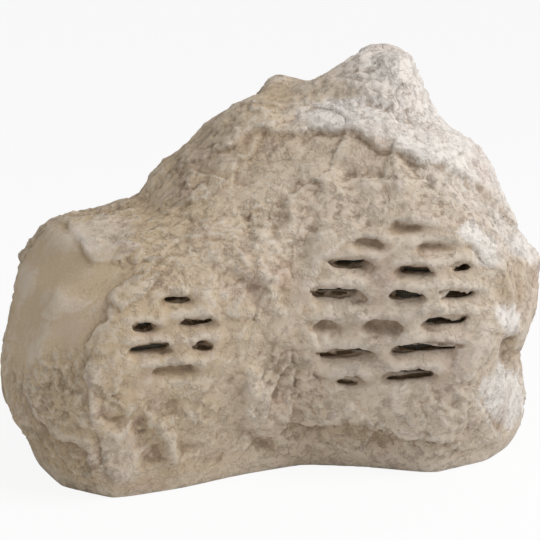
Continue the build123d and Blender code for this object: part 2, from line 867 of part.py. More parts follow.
spider_outer = basket_neck
spider_inner = coil_inside + spider_collar
spider_steps = 2 * spider_waves
spider_line = [(spider_outer + spider_seat, 0)]
for step in range(spider_steps + 1):
    way = step / spider_steps
    wave = spider_wave_height if step % 2 else 0
    spider_line.append((spider_outer + (spider_inner - spider_outer) * way, wave - spider_drop * way))
spider_line.append((coil_inside, -spider_drop))
spider_under = [(radius, height - basket_ledge_depth) for radius, height in spider_line]
spider_over = [(radius, height + spider_gauge) for radius, height in reversed(spider_under)]
with BuildPart() as woofer_spider:
    revolve(half_profile(woofer_seat, *spider_under, *spider_over), axis=woofer_axis)
save(woofer_spider, "woofer_spider")

plate_back = -basket_depth - top_plate_thickness
with BuildPart() as woofer_top_plate:
    plate_bore = coil_outside + magnet_gap
    plate_profile = (plate_bore, top_plate_radius, plate_back, -basket_depth)
    revolve(ring_profile(woofer_seat, *plate_profile), axis=woofer_axis)
save(woofer_top_plate, "woofer_top_plate")

magnet_back = plate_back - magnet_thickness
with BuildPart() as woofer_magnet:
    revolve(ring_profile(woofer_seat, magnet_bore, magnet_radius, magnet_back, plate_back), axis=woofer_axis)
save(woofer_magnet, "woofer_magnet")

pole_radius = former_inside - magnet_gap
with BuildPart() as woofer_yoke:
    turned_yoke = half_profile(
        woofer_seat,
        (pole_vent, magnet_back - yoke_thickness),
        (yoke_radius, magnet_back - yoke_thickness),
        (yoke_radius, magnet_back),
        (pole_radius, magnet_back),
        (pole_radius, -basket_depth),
        (pole_vent, -basket_depth),
    )
    revolve(turned_yoke, axis=woofer_axis)
save(woofer_yoke, "woofer_yoke")

ledge_back = basket_ledge_depth + frame_gauge
with BuildPart() as woofer_terminal_strip:
    strip_inner = basket_neck + frame_gauge + glue_gap
    add(terminal_strip(woofer_seat, ledge_back, strip_inner, strip_width, strip_length, blade_spacing))
save(woofer_terminal_strip, "woofer_terminal_strip")

with BuildPart() as woofer_screws:
    woofer_grip = woofer_gasket_thickness + frame_gauge
    frame_rear = back_face(woofer_seat, woofer_grip)
    add(screw_solid(frame_rear, woofer_places, woofer_screw_radius, woofer_grip, woofer_screw_bite))
save(woofer_screws, "woofer_screws")

# Tweeter, from the mounting face to the magnet
tweeter_axis = seat_axis(tweeter_seat)
face_front = -tweeter_gasket_thickness
face_back = face_front - faceplate_thickness
lip_back = face_back + (faceplate_recess - dome_lip_thickness) / 2
lip_front = lip_back + dome_lip_thickness
throat_radius = dome_radius + dome_roll
lip_radius = throat_radius + dome_lip
with BuildPart() as tweeter_gasket:
    gasket_radii = (tweeter_bore, faceplate_radius)
    tweeter_holes = (tweeter_places, tweeter_screw_radius)
    add(mounting_gasket(tweeter_seat, *gasket_radii, tweeter_gasket_thickness, *tweeter_holes))
save(tweeter_gasket, "tweeter_gasket")

with BuildPart() as tweeter_faceplate:
    turned_face = half_profile(
        tweeter_seat,
        (faceplate_radius, face_front),
        (horn_mouth, face_front),
        (throat_radius, face_back + faceplate_throat),
        (throat_radius, face_back + faceplate_recess),
        (lip_radius + glue_gap, face_back + faceplate_recess),
        (lip_radius + glue_gap, face_back),
        (faceplate_radius, face_back),
    )
    revolve(turned_face, axis=tweeter_axis)
    with BuildSketch(tweeter_seat.offset(face_front)):
        with Locations(*tweeter_places):
            Circle(tweeter_screw_radius + shank_clearance)
    extrude(amount=-faceplate_thickness, mode=Mode.SUBTRACT)
save(tweeter_faceplate, "tweeter_faceplate")

with BuildPart() as tweeter_surround:
    with BuildSketch(turning_plane(tweeter_seat)):
        with BuildLine():
            roll_inner = dome_radius + glue_gap
            roll_middle = (roll_inner + throat_radius) / 2
            roll_under = (roll_middle, lip_back + dome_roll_rise)
            roll_over = (roll_middle, lip_front + dome_roll_rise)
            ThreePointArc((throat_radius, lip_back), roll_under, (roll_inner, lip_back))
            Line((roll_inner, lip_back), (roll_inner, lip_front))
            ThreePointArc((roll_inner, lip_front), roll_over, (throat_radius, lip_front))
            Polyline(
                (throat_radius, lip_front),
                (lip_radius, lip_front),
                (lip_radius, lip_back),
                (throat_radius, lip_back),
            )
        make_face()
    revolve(axis=tweeter_axis)
save(tweeter_surround, "tweeter_surround")

skirt_radius = dome_radius - dome_gauge
skirt_base = -dome_depth - dome_skirt
with BuildPart() as tweeter_dome:
    with BuildSketch(turning_plane(tweeter_seat)):
        with BuildLine():
            TangentArc((0, dome_height - dome_depth), (dome_radius, -dome_depth), tangent=(1, 0))
            Polyline(
                (dome_radius, -dome_depth),
                (dome_radius, skirt_base),
                (skirt_radius, skirt_base),
                (skirt_radius, -dome_depth),
            )
            apex_under = (0, dome_height - dome_depth - dome_gauge)
            TangentArc(apex_under, (skirt_radius, -dome_depth), tangent=(1, 0))
            Line(apex_under, (0, dome_height - dome_depth))
        make_face()
    revolve(axis=tweeter_axis)
save(tweeter_dome, "tweeter_dome")

dome_coil_inside = dome_radius + glue_gap
dome_coil_outside = dome_coil_inside + dome_coil_gauge
with BuildPart() as tweeter_voice_coil:
    coil_profile = (dome_coil_inside, dome_coil_outside, skirt_base, skirt_base + dome_coil_length)
    revolve(ring_profile(tweeter_seat, *coil_profile), axis=tweeter_axis)
save(tweeter_voice_coil, "tweeter_voice_coil")

tweeter_plate_back = face_back - tweeter_plate_thickness
with BuildPart() as tweeter_top_plate:
    plate_profile = (dome_coil_outside + dome_gap, tweeter_plate_radius, tweeter_plate_back, face_back)
    revolve(ring_profile(tweeter_seat, *plate_profile), axis=tweeter_axis)
save(tweeter_top_plate, "tweeter_top_plate")

tweeter_magnet_back = tweeter_plate_back - tweeter_magnet_thickness
with BuildPart() as tweeter_magnet:
    magnet_profile = (tweeter_magnet_bore, tweeter_magnet_radius, tweeter_magnet_back, tweeter_plate_back)
    revolve(ring_profile(tweeter_seat, *magnet_profile), axis=tweeter_axis)
save(tweeter_magnet, "tweeter_magnet")

with BuildPart() as tweeter_back_plate:
    turned_back = half_profile(
        tweeter_seat,
        (0, tweeter_magnet_back - back_plate_thickness),
        (tweeter_plate_radius, tweeter_magnet_back - back_plate_thickness),
        (tweeter_plate_radius, tweeter_magnet_back),
        (skirt_radius - dome_gap, tweeter_magnet_back),
        (skirt_radius - dome_gap, -dome_depth - pole_below_dome),
        (0, -dome_depth - pole_below_dome),
    )
    revolve(turned_back, axis=tweeter_axis)
save(tweeter_back_plate, "tweeter_back_plate")

with BuildPart() as tweeter_terminal_strip:
    strip_sizes = (tweeter_magnet_radius + strip_thickness / 2, tweeter_strip_width, tweeter_strip_length)
    add(terminal_strip(tweeter_seat, -face_back, *strip_sizes, tweeter_blade_spacing))
save(tweeter_terminal_strip, "tweeter_terminal_strip")

with BuildPart() as tweeter_screws:
    faceplate_rear = back_face(tweeter_seat, -face_back)
    add(screw_solid(faceplate_rear, tweeter_places, tweeter_screw_radius, -face_back, tweeter_screw_bite))
save(tweeter_screws, "tweeter_screws")
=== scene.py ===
import itertools
import json
import logging
import math
from dataclasses import dataclass
from enum import Enum
from typing import ClassVar

import bpy
import numpy as np
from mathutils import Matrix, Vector
from mathutils.bvhtree import BVHTree
from mathutils.kdtree import KDTree


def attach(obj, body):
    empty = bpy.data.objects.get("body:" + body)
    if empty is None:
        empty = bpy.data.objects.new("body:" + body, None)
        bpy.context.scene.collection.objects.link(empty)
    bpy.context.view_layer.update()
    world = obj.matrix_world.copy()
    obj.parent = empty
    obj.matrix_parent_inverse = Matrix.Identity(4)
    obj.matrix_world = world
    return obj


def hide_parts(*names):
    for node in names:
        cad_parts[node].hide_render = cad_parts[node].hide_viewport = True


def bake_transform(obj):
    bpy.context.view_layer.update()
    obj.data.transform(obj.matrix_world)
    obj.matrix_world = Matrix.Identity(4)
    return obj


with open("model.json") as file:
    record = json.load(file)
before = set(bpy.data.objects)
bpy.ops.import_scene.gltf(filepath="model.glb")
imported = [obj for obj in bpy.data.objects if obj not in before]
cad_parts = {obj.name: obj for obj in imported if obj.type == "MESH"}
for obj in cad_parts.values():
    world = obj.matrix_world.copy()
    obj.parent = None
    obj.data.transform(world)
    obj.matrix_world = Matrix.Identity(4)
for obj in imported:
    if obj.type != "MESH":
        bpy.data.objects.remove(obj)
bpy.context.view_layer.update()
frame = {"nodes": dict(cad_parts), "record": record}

LOG = logging.getLogger("rock_speaker")
MM = 0.001
TINY = 1e-9
WELD_DISTANCE = 1e-6
Range = tuple[float, ...]
Tone = tuple[int, int, int]


class Body(str, Enum):
    """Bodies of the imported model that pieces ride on."""

    ENCLOSURE = "enclosure"
    WOOFER_CONE = "woofer_cone_assembly"
    TWEETER_DOME = "tweeter_dome_assembly"


class Pattern(Enum):
    """Kinds of grain that a made finish can show."""

    MOULDED = "moulded"
    WOVEN = "woven"
    WOUND = "wound"
    BRUSHED = "brushed"
    SPECKLED = "speckled"
    FIBROUS = "fibrous"


class Stroke(Enum):
    """Ways in which a relief line shapes the skin of the rock."""

    RIDGE = "ridge"
    LEDGE = "ledge"
    SLIT = "slit"


def deselect_all() -> None:
    """Leave edit mode and deselect every object."""
    if bpy.context.object is not None and bpy.context.object.mode != "OBJECT":
        bpy.ops.object.mode_set(mode="OBJECT")
    bpy.ops.object.select_all(action="DESELECT")


def make_active(piece: bpy.types.Object) -> None:
    """Select one object alone and make it active."""
    deselect_all()
    piece.select_set(True)
    bpy.context.view_layer.objects.active = piece


def apply_modifier(piece: bpy.types.Object, kind: str, **settings: object) -> None:
    """Add a modifier with its settings and apply it at once.

    Args:
        piece: Object that the modifier shapes.
        kind: Blender's name of the modifier type.
        settings: Values of the modifier's own properties.
    """
    make_active(piece)
    modifier = piece.modifiers.new(kind.lower(), kind)
    for name, value in settings.items():
        setattr(modifier, name, value)
    bpy.ops.object.modifier_apply(modifier=modifier.name)


def copy_of_node(node: str, name: str) -> bpy.types.Object:
    """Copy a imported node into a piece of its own, with its loose triangles merged.

    Args:
        node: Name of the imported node.
        name: Name of the new piece.

    Returns:
        The new piece, at the origin.
    """
    source = frame["nodes"][node]
    piece = bpy.data.objects.new(name, source.data.copy())
    piece.data.name = name
    bpy.context.scene.collection.objects.link(piece)
    make_active(piece)
    bpy.ops.object.mode_set(mode="EDIT")
    bpy.ops.mesh.select_all(action="SELECT")
    bpy.ops.mesh.remove_doubles(threshold=WELD_DISTANCE)
    bpy.ops.object.mode_set(mode="OBJECT")
    piece.data.materials.clear()
    return piece


def smooth_steps(values: np.ndarray, low: float, high: float) -> np.ndarray:
    """Ease from 0 at low to 1 at high."""
    part = np.clip((values - low) / (high - low), 0.0, 1.0)
    return part * part * (3.0 - 2.0 * part)


class StoneNoise:
    """Seeded noise for shapes of stone, on arrays of points in millimetres."""

    GRADIENTS = np.array(
        [step for step in itertools.product((-1.0, 0.0, 1.0), repeat=3) if np.abs(step).sum() == 2]
    )
    PRIMES = (374761393, 668265263, 987643217)
    MIXER = 1274126177
    MASK = 0xFFFFFFFF
    FOLDS = (13, 16)
    EVENING = 1.4
    PLACE_STEPS = 256
    PLACE_BITS = (0, 8, 16)
    TILT_STEPS = 64
    TILT_BITS = (3, 11, 19)
    LEVEL_STEPS = 128
    LEVEL_BIT = 5
    LEVEL_SHARE = 0.5
    TILT_SHARE = 0.8

    @classmethod
    def scramble(cls, cells: np.ndarray, seed: int) -> np.ndarray:
        """Whole numbers that look random, one for each cell of a lattice."""
        first, last = cls.FOLDS
        mixed = sum(cells[:, axis] * prime for axis, prime in enumerate(cls.PRIMES))
        mixed = (mixed + seed * cls.MIXER) & cls.MASK
        mixed = ((mixed ^ (mixed >> first)) * cls.MIXER) & cls.MASK
        return mixed ^ (mixed >> last)

    @staticmethod
    def swing(code: np.ndarray, bit: int, steps: int) -> np.ndarray:
        """Values of -1 to 1, taken from some bits of whole numbers that look random."""
        return (code >> bit) % steps / ((steps - 1) / 2.0) - 1.0

    @classmethod
    def swell(cls, points: np.ndarray, scale: float, seed: int) -> np.ndarray:
        """Smooth noise of about -1 to 1 whose bumps are about as wide as scale.

        Args:
            points: Places, one row each.
            scale: Width of the bumps.
            seed: Number that picks the pattern.

        Returns:
            One value for each place.
        """
        spots = points / scale
        base = np.floor(spots).astype(np.int64)
        part = spots - base
        fade = part**3 * (part * (part * 6.0 - 15.0) + 10.0)
        total = np.zeros(len(points))
        for corner in itertools.product((0, 1), repeat=3):
            steps = np.array(corner)
            slopes = cls.GRADIENTS[cls.scramble(base + steps, seed) % len(cls.GRADIENTS)]
            weight = np.prod(np.where(steps, fade, 1.0 - fade), axis=1)
            total += weight * ((part - steps) * slopes).sum(axis=1)
        return total * cls.EVENING

    @classmethod
    def layered(cls, points: np.ndarray, scale: float, seed: int, layers: int) -> np.ndarray:
        """Several swells, each half as wide and half as strong as the last."""
        total = np.zeros(len(points))
        for layer in range(layers):
            total += cls.swell(points, scale / 2**layer, seed + layer) / 2**layer
        return total

    @classmethod
    def warped(cls, points: np.ndarray, scale: float, reach: float, seed: int) -> np.ndarray:
        """Points moved about by noise, so that what is drawn on them gets ragged."""
        shifts = [cls.swell(points, scale, seed + axis) for axis in range(3)]
        return points + reach * np.stack(shifts, axis=1)

    @classmethod
    def chips(cls, points: np.ndarray, scale: float, seed: int) -> np.ndarray:
        """Flat tilted facets with creases between them, as on broken stone.

        Args:
            points: Places, one row each.
            scale: Width of the facets.
            seed: Number that picks the pattern.

        Returns:
            One height of about -1 to 1 for each place.
        """
        spots = points / scale
        base = np.floor(spots).astype(np.int64)
        nearest = np.full(len(points), np.inf)
        height = np.zeros(len(points))
        for corner in itertools.product((-1, 0, 1), repeat=3):
            cell = base + np.array(corner)
            code = cls.scramble(cell, seed)
            shares = [(code >> bit) % cls.PLACE_STEPS / (cls.PLACE_STEPS - 1.0) for bit in cls.PLACE_BITS]
            middle = cell + np.stack(shares, axis=1)
            away = spots - middle
            distance = (away * away).sum(axis=1)
            tilt = np.stack([cls.swing(code, bit, cls.TILT_STEPS) for bit in cls.TILT_BITS], axis=1)
            level = cls.LEVEL_SHARE * cls.swing(code, cls.LEVEL_BIT, cls.LEVEL_STEPS)
            closer = distance < nearest
            nearest = np.where(closer, distance, nearest)
            height = np.where(closer, level + cls.TILT_SHARE * (away * tilt).sum(axis=1), height)
        return height

    @staticmethod
    def terraces(values: np.ndarray, steps: float, softness: float) -> np.ndarray:
        """Values drawn together into flat steps with short slopes between them."""
        scaled = values * steps
        floor = np.floor(scaled)
        return (floor + smooth_steps(scaled - floor, 0.5 - softness, 0.5 + softness)) / steps


@dataclass(frozen=True)
class Viewpoint:
    """The camera's place, and the chart that it gives for drawing relief on the front.

    The chart has 540 units each way, counted from the upper left corner of the frame.
    """

    elevation: float = 15.0
    distance: float = 1.3
    aim_height: float = 0.14
    lens: float = 108.333
    sensor: float = 36.0
    chart_units: float = 540.0

    @property
    def outwards(self) -> Vector:
        """Direction from the rock to the camera."""
        lift = math.radians(self.elevation)
        return Vector((0.0, -math.cos(lift), math.sin(lift)))

    def chart(self, points: np.ndarray) -> np.ndarray:
        """Places on the chart of points in metres, one row each."""
        lift = math.radians(self.elevation)
        height = points[:, 2] - self.aim_height
        depth = self.distance + points[:, 1] * math.cos(lift) - height * math.sin(lift)
        up = points[:, 1] * math.sin(lift) + height * math.cos(lift)
        scale = self.chart_units * self.lens / self.sensor / depth
        middle = self.chart_units / 2.0
        return np.stack([middle + scale * points[:, 0], middle - scale * up], axis=1)


@dataclass(frozen=True)
class ReliefLine:
    """A ridge, groove, ledge or tapered slit drawn on the chart of the front.

    Attributes:
        name: What the line is on the rock.
        stroke: Which of these the line is.
        points: Corners of the line, in chart units.
        reach: How far its slopes go, in chart units.
        height: Rise of a ridge, or of the upper side of a ledge, in millimetres.
        drop: Fall on the lower side of a ledge, in millimetres.
        lip: Half the width of a ledge's step, in chart units.
    """

    SLIT_ENDS: ClassVar[float] = 1.15
    SLIT_TIP: ClassVar[float] = 0.04
    SHELF_SPREAD: ClassVar[float] = 2.4

    name: str
    stroke: Stroke
    points: tuple[tuple[float, float], ...]
    reach: float
    height: float
    drop: float = 0.0
    lip: float = 2.5

    def measure(self, places: np.ndarray) -> tuple[np.ndarray, np.ndarray]:
        """How far chart places lie from the line, and on which side of it.

        Args:
            places: Chart places, one row each.

        Returns:
            Distances, and the same distances with those on the upper side below 0.
        """
        corners = np.array(self.points, float)
        nearest = np.full(len(places), np.inf)
        side = np.zeros(len(places))
        for start, end in zip(corners[:-1], corners[1:]):
            along = end - start
            way = places - start
            share = np.clip((way @ along) / (along @ along), 0.0, 1.0)
            away = way - share[:, None] * along
            distance = np.hypot(away[:, 0], away[:, 1])
            closer = distance < nearest
            nearest = np.where(closer, distance, nearest)
            turn = along[0] * way[:, 1] - along[1] * way[:, 0]
            side = np.where(closer, np.sign(turn), side)
        return nearest, np.where(side < 0, -nearest, nearest)

    def underside(self, places: np.ndarray) -> np.ndarray:
        """How far chart places lie in the shelter of a ledge: 1 right below it, 0 far away."""
        nearest, across = self.measure(places)
        return np.exp(-nearest / self.reach) * smooth_steps(across, -self.lip, self.lip)

    def heights(self, places: np.ndarray) -> np.ndarray:
        """Heights that the line gives to places on the chart.

        Args:
            places: Chart places, one row each.

        Returns:
            Millimetres, one for each place.
        """
        nearest, across = self.measure(places)
        if self.stroke is Stroke.RIDGE:
            return self.height * np.exp(-((nearest / self.reach) ** 2))
        if self.stroke is Stroke.SLIT:
            corners = np.array(self.points, float)
            far = np.hypot(places[:, 0] - corners[:, 0].mean(), places[:, 1] - corners[:, 1].mean())
            half = np.linalg.norm(corners[-1] - corners[0]) / 2.0
            taper = np.sqrt(np.clip(1.0 - (far / (self.SLIT_ENDS * half)) ** 2, self.SLIT_TIP, 1.0))
            return self.height * np.exp(-((nearest / (self.reach * taper)) ** 2))
        shelf = self.height * np.exp(-((nearest / (self.SHELF_SPREAD * self.reach)) ** 2))
        recess = -self.drop * np.exp(-nearest / self.reach)
        below = smooth_steps(across, -self.lip, self.lip)
        return shelf * (1.0 - below) + recess * below


def ridge(name: str, reach: float, height: float, *points: tuple[float, float]) -> ReliefLine:
    """A rounded ridge, or a groove where the height is below 0."""
    return ReliefLine(name, Stroke.RIDGE, points, reach, height)


def ledge(name: str, reach: float, height: float, drop: float, *points: tuple[float, float],
          lip: float = 2.5) -> ReliefLine:
    """A ledge whose upper side lies on the left of the way that its points go."""
    return ReliefLine(name, Stroke.LEDGE, points, reach, height, drop, lip)


@dataclass(frozen=True)
class Louvre:
    """One louvre on the chart, in chart units.

    Attributes:
        name: Where it sits.
        brow: Left end, right end and row of its brow.
        slit: Left end with its row, then right end with its row, or nothing where the scoop is blind.
    """

    BROW_LIFT: ClassVar[float] = 5.0
    CROWN_LIFT: ClassVar[float] = 8.0
    BROW_REACH: ClassVar[float] = 5.0
    BROW_HEIGHT: ClassVar[float] = 1.6
    SLIT_REACH: ClassVar[float] = 3.0
    SLIT_DEPTH: ClassVar[float] = -4.5
    FLOOR_REACH: ClassVar[float] = 8.0

    name: str
    brow: tuple[float, float, float]
    slit: tuple[float, float, float, float] | None = None

    def brow_line(self) -> ReliefLine:
        """The rounded brow over the scoop."""
        left, right, row = self.brow
        crown = ((left + right) / 2, row - self.CROWN_LIFT)
        return ridge(self.name, self.BROW_REACH, self.BROW_HEIGHT, (left, row - self.BROW_LIFT), crown,
                     (right, row - self.BROW_LIFT))

    def slit_line(self) -> ReliefLine:
        """The tapered slit under the brow."""
        left, start, right, end = self.slit
        ends = ((left, start), (right, end))
        return ReliefLine(self.name, Stroke.SLIT, ends, self.SLIT_REACH, self.SLIT_DEPTH)

    def floor_line(self) -> ReliefLine:
        """The sheltered floor of the scoop, as a ledge with no height of its own."""
        left, right, row = self.brow
        return ledge(self.name, self.FLOOR_REACH, 0.0, 0.0, (left, row), (right, row))


@dataclass(frozen=True)
class ChartOval:
    """An oval on the chart of the front, in chart units, with painted light and shade in it: a paler or warmer
    coat, and brown painted shade.
    """

    name: str
    middle: tuple[float, float]
    half: tuple[float, float]
    warmth: float = 0.0
    brown: float = 0.0

    def share(self, chart: np.ndarray, soft: float = 0.15) -> np.ndarray:
        """How far chart places lie in the oval: 1 in the middle, 0 outside."""
        across = (chart[:, 0] - self.middle[0]) / self.half[0]
        far = np.hypot(across, (chart[:, 1] - self.middle[1]) / self.half[1])
        return 1.0 - smooth_steps(far, 1.0 - soft, 1.0 + soft)


@dataclass(frozen=True)
class Swell:
    """A broad rise of the skin, or a dip where its height is below 0, in millimetres."""

    name: str
    place: tuple[float, float, float]
    radius: float
    height: float

    def heights(self, spots: np.ndarray) -> np.ndarray:
        """Heights that the swell gives to places in millimetres."""
        away = np.linalg.norm(spots - np.array(self.place), axis=1)
        return self.height * np.exp(-((away / self.radius) ** 2))


@dataclass(frozen=True)
class Layer:
    """One layer of noise on the skin: width of its bumps and height in millimetres, and its seed."""

    OCTAVES: ClassVar[int] = 2

    width: float
    height: float
    seed: int

    def swell(self, spots: np.ndarray) -> np.ndarray:
        """Heights of one smooth noise."""
        return self.height * StoneNoise.swell(spots, self.width, self.seed)

    def layered(self, spots: np.ndarray) -> np.ndarray:
        """Heights of a noise with finer ones on it."""
        return self.height * StoneNoise.layered(spots, self.width, self.seed, self.OCTAVES)

    def chips(self, spots: np.ndarray) -> np.ndarray:
        """Heights of tilted chips."""
        return self.height * StoneNoise.chips(spots, self.width, self.seed)

    def warp(self, spots: np.ndarray) -> np.ndarray:
        """Places pushed about by up to about the height."""
        return StoneNoise.warped(spots, self.width, self.height, self.seed)


class NodeSketch:
    """Short calls that lay out the nodes of one material."""

    FIRST_COLOUR = 6
    SECOND_COLOUR = 7
    MIXED_COLOUR = 2

    def __init__(self, name: str) -> None:
        """Start a material with its shader and Object coordinates."""
        self.material = bpy.data.materials.new(name)
        self.material.use_nodes = True
        self.tree = self.material.node_tree
        self.shader = self.tree.nodes["Principled BSDF"]
        self.place = self.tree.nodes.new("ShaderNodeTexCoord").outputs["Object"]

    def node(self, kind: str, **inputs: object) -> bpy.types.Node:
        """Add a node and fill its inputs.

        Args:
            kind: Blender's name of the node type.
            inputs: Values or output sockets by input name, with underscores for spaces.

        Returns:
            The new node.
        """
        made = self.tree.nodes.new(kind)
        for name, value in inputs.items():
            self.fill(made.inputs[name.replace("_", " ")], value)
        return made

    def fill(self, socket: bpy.types.NodeSocket, value: object) -> None:
        """Link an output to an input, or set the input's own value."""
        if isinstance(value, bpy.types.NodeSocket):
            self.tree.links.new(value, socket)
        else:
            socket.default_value = value

    def noise(self, scale: float, detail: float = 4.0, roughness: float = 0.6,
              vector: object = None) -> bpy.types.NodeSocket:
        """Noise on Object coordinates, as a value of about 0 to 1."""
        made = self.node("ShaderNodeTexNoise", Scale=scale, Detail=detail, Roughness=roughness,
                         Vector=self.place if vector is None else vector)
        return made.outputs["Fac"]

    def attribute(self, name: str) -> bpy.types.NodeSocket:
        """A value stored on the piece's own vertices."""
        made = self.tree.nodes.new("ShaderNodeAttribute")
        made.attribute_name = name
        return made.outputs["Fac"]

    def math(self, operation: str, first: object, second: object) -> bpy.types.NodeSocket:
        """Sum, product or another operation on two values."""
        made = self.tree.nodes.new("ShaderNodeMath")
        made.operation = operation
        self.fill(made.inputs[0], first)
        self.fill(made.inputs[1], second)
        return made.outputs["Value"]

    def span(self, value: object, low: float, high: float, start: float = 0.0,
             end: float = 1.0) -> bpy.types.NodeSocket:
        """A value stretched from one range to another and held inside it."""
        made = self.node("ShaderNodeMapRange", Value=value, From_Min=low, From_Max=high, To_Min=start,
                         To_Max=end)
        return made.outputs["Result"]

    def blend(self, share: object, first: object, second: object, mode: str = "MIX") -> bpy.types.NodeSocket:
        """Two colours mixed by a share of 0 to 1."""
        made = self.tree.nodes.new("ShaderNodeMix")
        made.data_type = "RGBA"
        made.blend_type = mode
        self.fill(made.inputs["Factor"], share)
        self.fill(made.inputs[self.FIRST_COLOUR], first)
        self.fill(made.inputs[self.SECOND_COLOUR], second)
        return made.outputs[self.MIXED_COLOUR]

    def bump(self, height: object, strength: float, distance: float) -> None:
        """Roughen the shader's surface by a height."""
        made = self.node("ShaderNodeBump", Height=height, Strength=strength, Distance=distance)
        self.tree.links.new(made.outputs["Normal"], self.shader.inputs["Normal"])

    def mapping(self, turn: Range, stretch: Range) -> bpy.types.NodeSocket:
        """Object coordinates turned and stretched."""
        made = self.node("ShaderNodeMapping", Vector=self.place, Rotation=turn, Scale=stretch)
        return made.outputs["Vector"]


def colour(red: int, green: int, blue: int) -> tuple[float, float, float, float]:
    """Linear colour of a screen colour given from 0 to 255."""
    full, knee, slope, offset, power = 255.0, 0.04045, 12.92, 0.055, 2.4
    linear = []
    for value in (red, green, blue):
        share = value / full
        linear.append(share / slope if share <= knee else ((share + offset) / (1.0 + offset)) ** power)
    return (*linear, 1.0)


@dataclass(frozen=True)
class MadeFinish:
    """A manufactured finish with its own grain.

    Attributes:
        slot: The record's material slot.
        tone: Main colour, from 0 to 255.
        shade: Colour of the grain.
        roughness: Mean roughness.
        metallic: 1 for bare metal, else 0.
        pattern: Kind of grain.
        grain: Width of the grain in millimetres.
        relief: Depth of the bump in millimetres.
    """

    THREAD_RATE: ClassVar[float] = 0.16
    WEAVE_BEND: ClassVar[float] = 0.4
    WINDING_BEND: ClassVar[float] = 0.3
    BRUSH_NOISE: ClassVar[Range] = (0.2, 5.0, 0.7)
    FIBRE_NOISE: ClassVar[Range] = (0.4, 6.0, 0.7)
    BRUSH_STRETCH: ClassVar[Range] = (1.0, 1.0, 12.0)
    FIBRE_TURN: ClassVar[Range] = (0.3, 0.2, 0.6)
    FIBRE_STRETCH: ClassVar[Range] = (1.0, 6.0, 1.0)
    SPOT_RANGE: ClassVar[Range] = (0.1, 0.6)
    MOULD_NOISE: ClassVar[Range] = (3.0, 0.55)
    CLOUDS: ClassVar[Range] = (45.0, 4.0, 0.6)
    WEAR: ClassVar[Range] = (0.3, 0.75, 0.0, 0.35)
    CLOUD_RANGE: ClassVar[Range] = (0.2, 0.8)
    ROUGH_PLAY: ClassVar[float] = 0.12
    ROUGH_LEAST: ClassVar[float] = 0.05
    BUMP_STRENGTH: ClassVar[float] = 0.6

    slot: str
    tone: Tone
    shade: Tone
    roughness: float
    metallic: float
    pattern: Pattern
    grain: float
    relief: float

    def grain_value(self, sketch: NodeSketch) -> bpy.types.NodeSocket:
        """Lay out the nodes of the grain.

        Args:
            sketch: The material under way.

        Returns:
            A value of 0 to 1 over the surface.
        """
        rate = 1.0 / (self.grain * MM)
        if self.pattern is Pattern.WOVEN:
            across, upwards = (self.threads(sketch, rate, self.WEAVE_BEND, way) for way in "XZ")
            return sketch.math("MULTIPLY", across, upwards)
        if self.pattern is Pattern.WOUND:
            return self.threads(sketch, rate, self.WINDING_BEND, "Z")
        if self.pattern is Pattern.BRUSHED:
            drawn = sketch.mapping((0.0, 0.0, 0.0), self.BRUSH_STRETCH)
            share, detail, roughness = self.BRUSH_NOISE
            return sketch.noise(rate * share, detail, roughness, drawn)
        if self.pattern is Pattern.FIBROUS:
            drawn = sketch.mapping(self.FIBRE_TURN, self.FIBRE_STRETCH)
            share, detail, roughness = self.FIBRE_NOISE
            return sketch.noise(rate * share, detail, roughness, drawn)
        if self.pattern is Pattern.SPECKLED:
            spots = sketch.node("ShaderNodeTexVoronoi", Scale=rate, Vector=sketch.place)
            return sketch.span(spots.outputs["Distance"], *self.SPOT_RANGE)
        return sketch.noise(rate, *self.MOULD_NOISE)

    def threads(self, sketch: NodeSketch, rate: float, bend: float, way: str) -> bpy.types.NodeSocket:
        """Even lines that follow one another along X, Y or Z."""
        scale = rate * self.THREAD_RATE
        made = sketch.node("ShaderNodeTexWave", Scale=scale, Distortion=bend, Vector=sketch.place)
        made.bands_direction = way
        return made.outputs["Fac"]

    def material(self) -> bpy.types.Material:
        """Build the finish as a material."""
        sketch = NodeSketch(self.slot)
        grain = self.grain_value(sketch)
        clouds = sketch.noise(*self.CLOUDS)
        worn = sketch.span(clouds, *self.WEAR)
        mixed = sketch.blend(grain, colour(*self.shade), colour(*self.tone))
        dusty = sketch.blend(worn, mixed, colour(*self.shade))
        sketch.fill(sketch.shader.inputs["Base Color"], dusty)
        least = max(self.roughness - self.ROUGH_PLAY, self.ROUGH_LEAST)
        rough = sketch.span(clouds, *self.CLOUD_RANGE, least, min(self.roughness + self.ROUGH_PLAY, 1.0))
        sketch.fill(sketch.shader.inputs["Roughness"], rough)
        sketch.shader.inputs["Metallic"].default_value = self.metallic
        sketch.bump(grain, self.BUMP_STRENGTH, self.relief * MM)
        return sketch.material


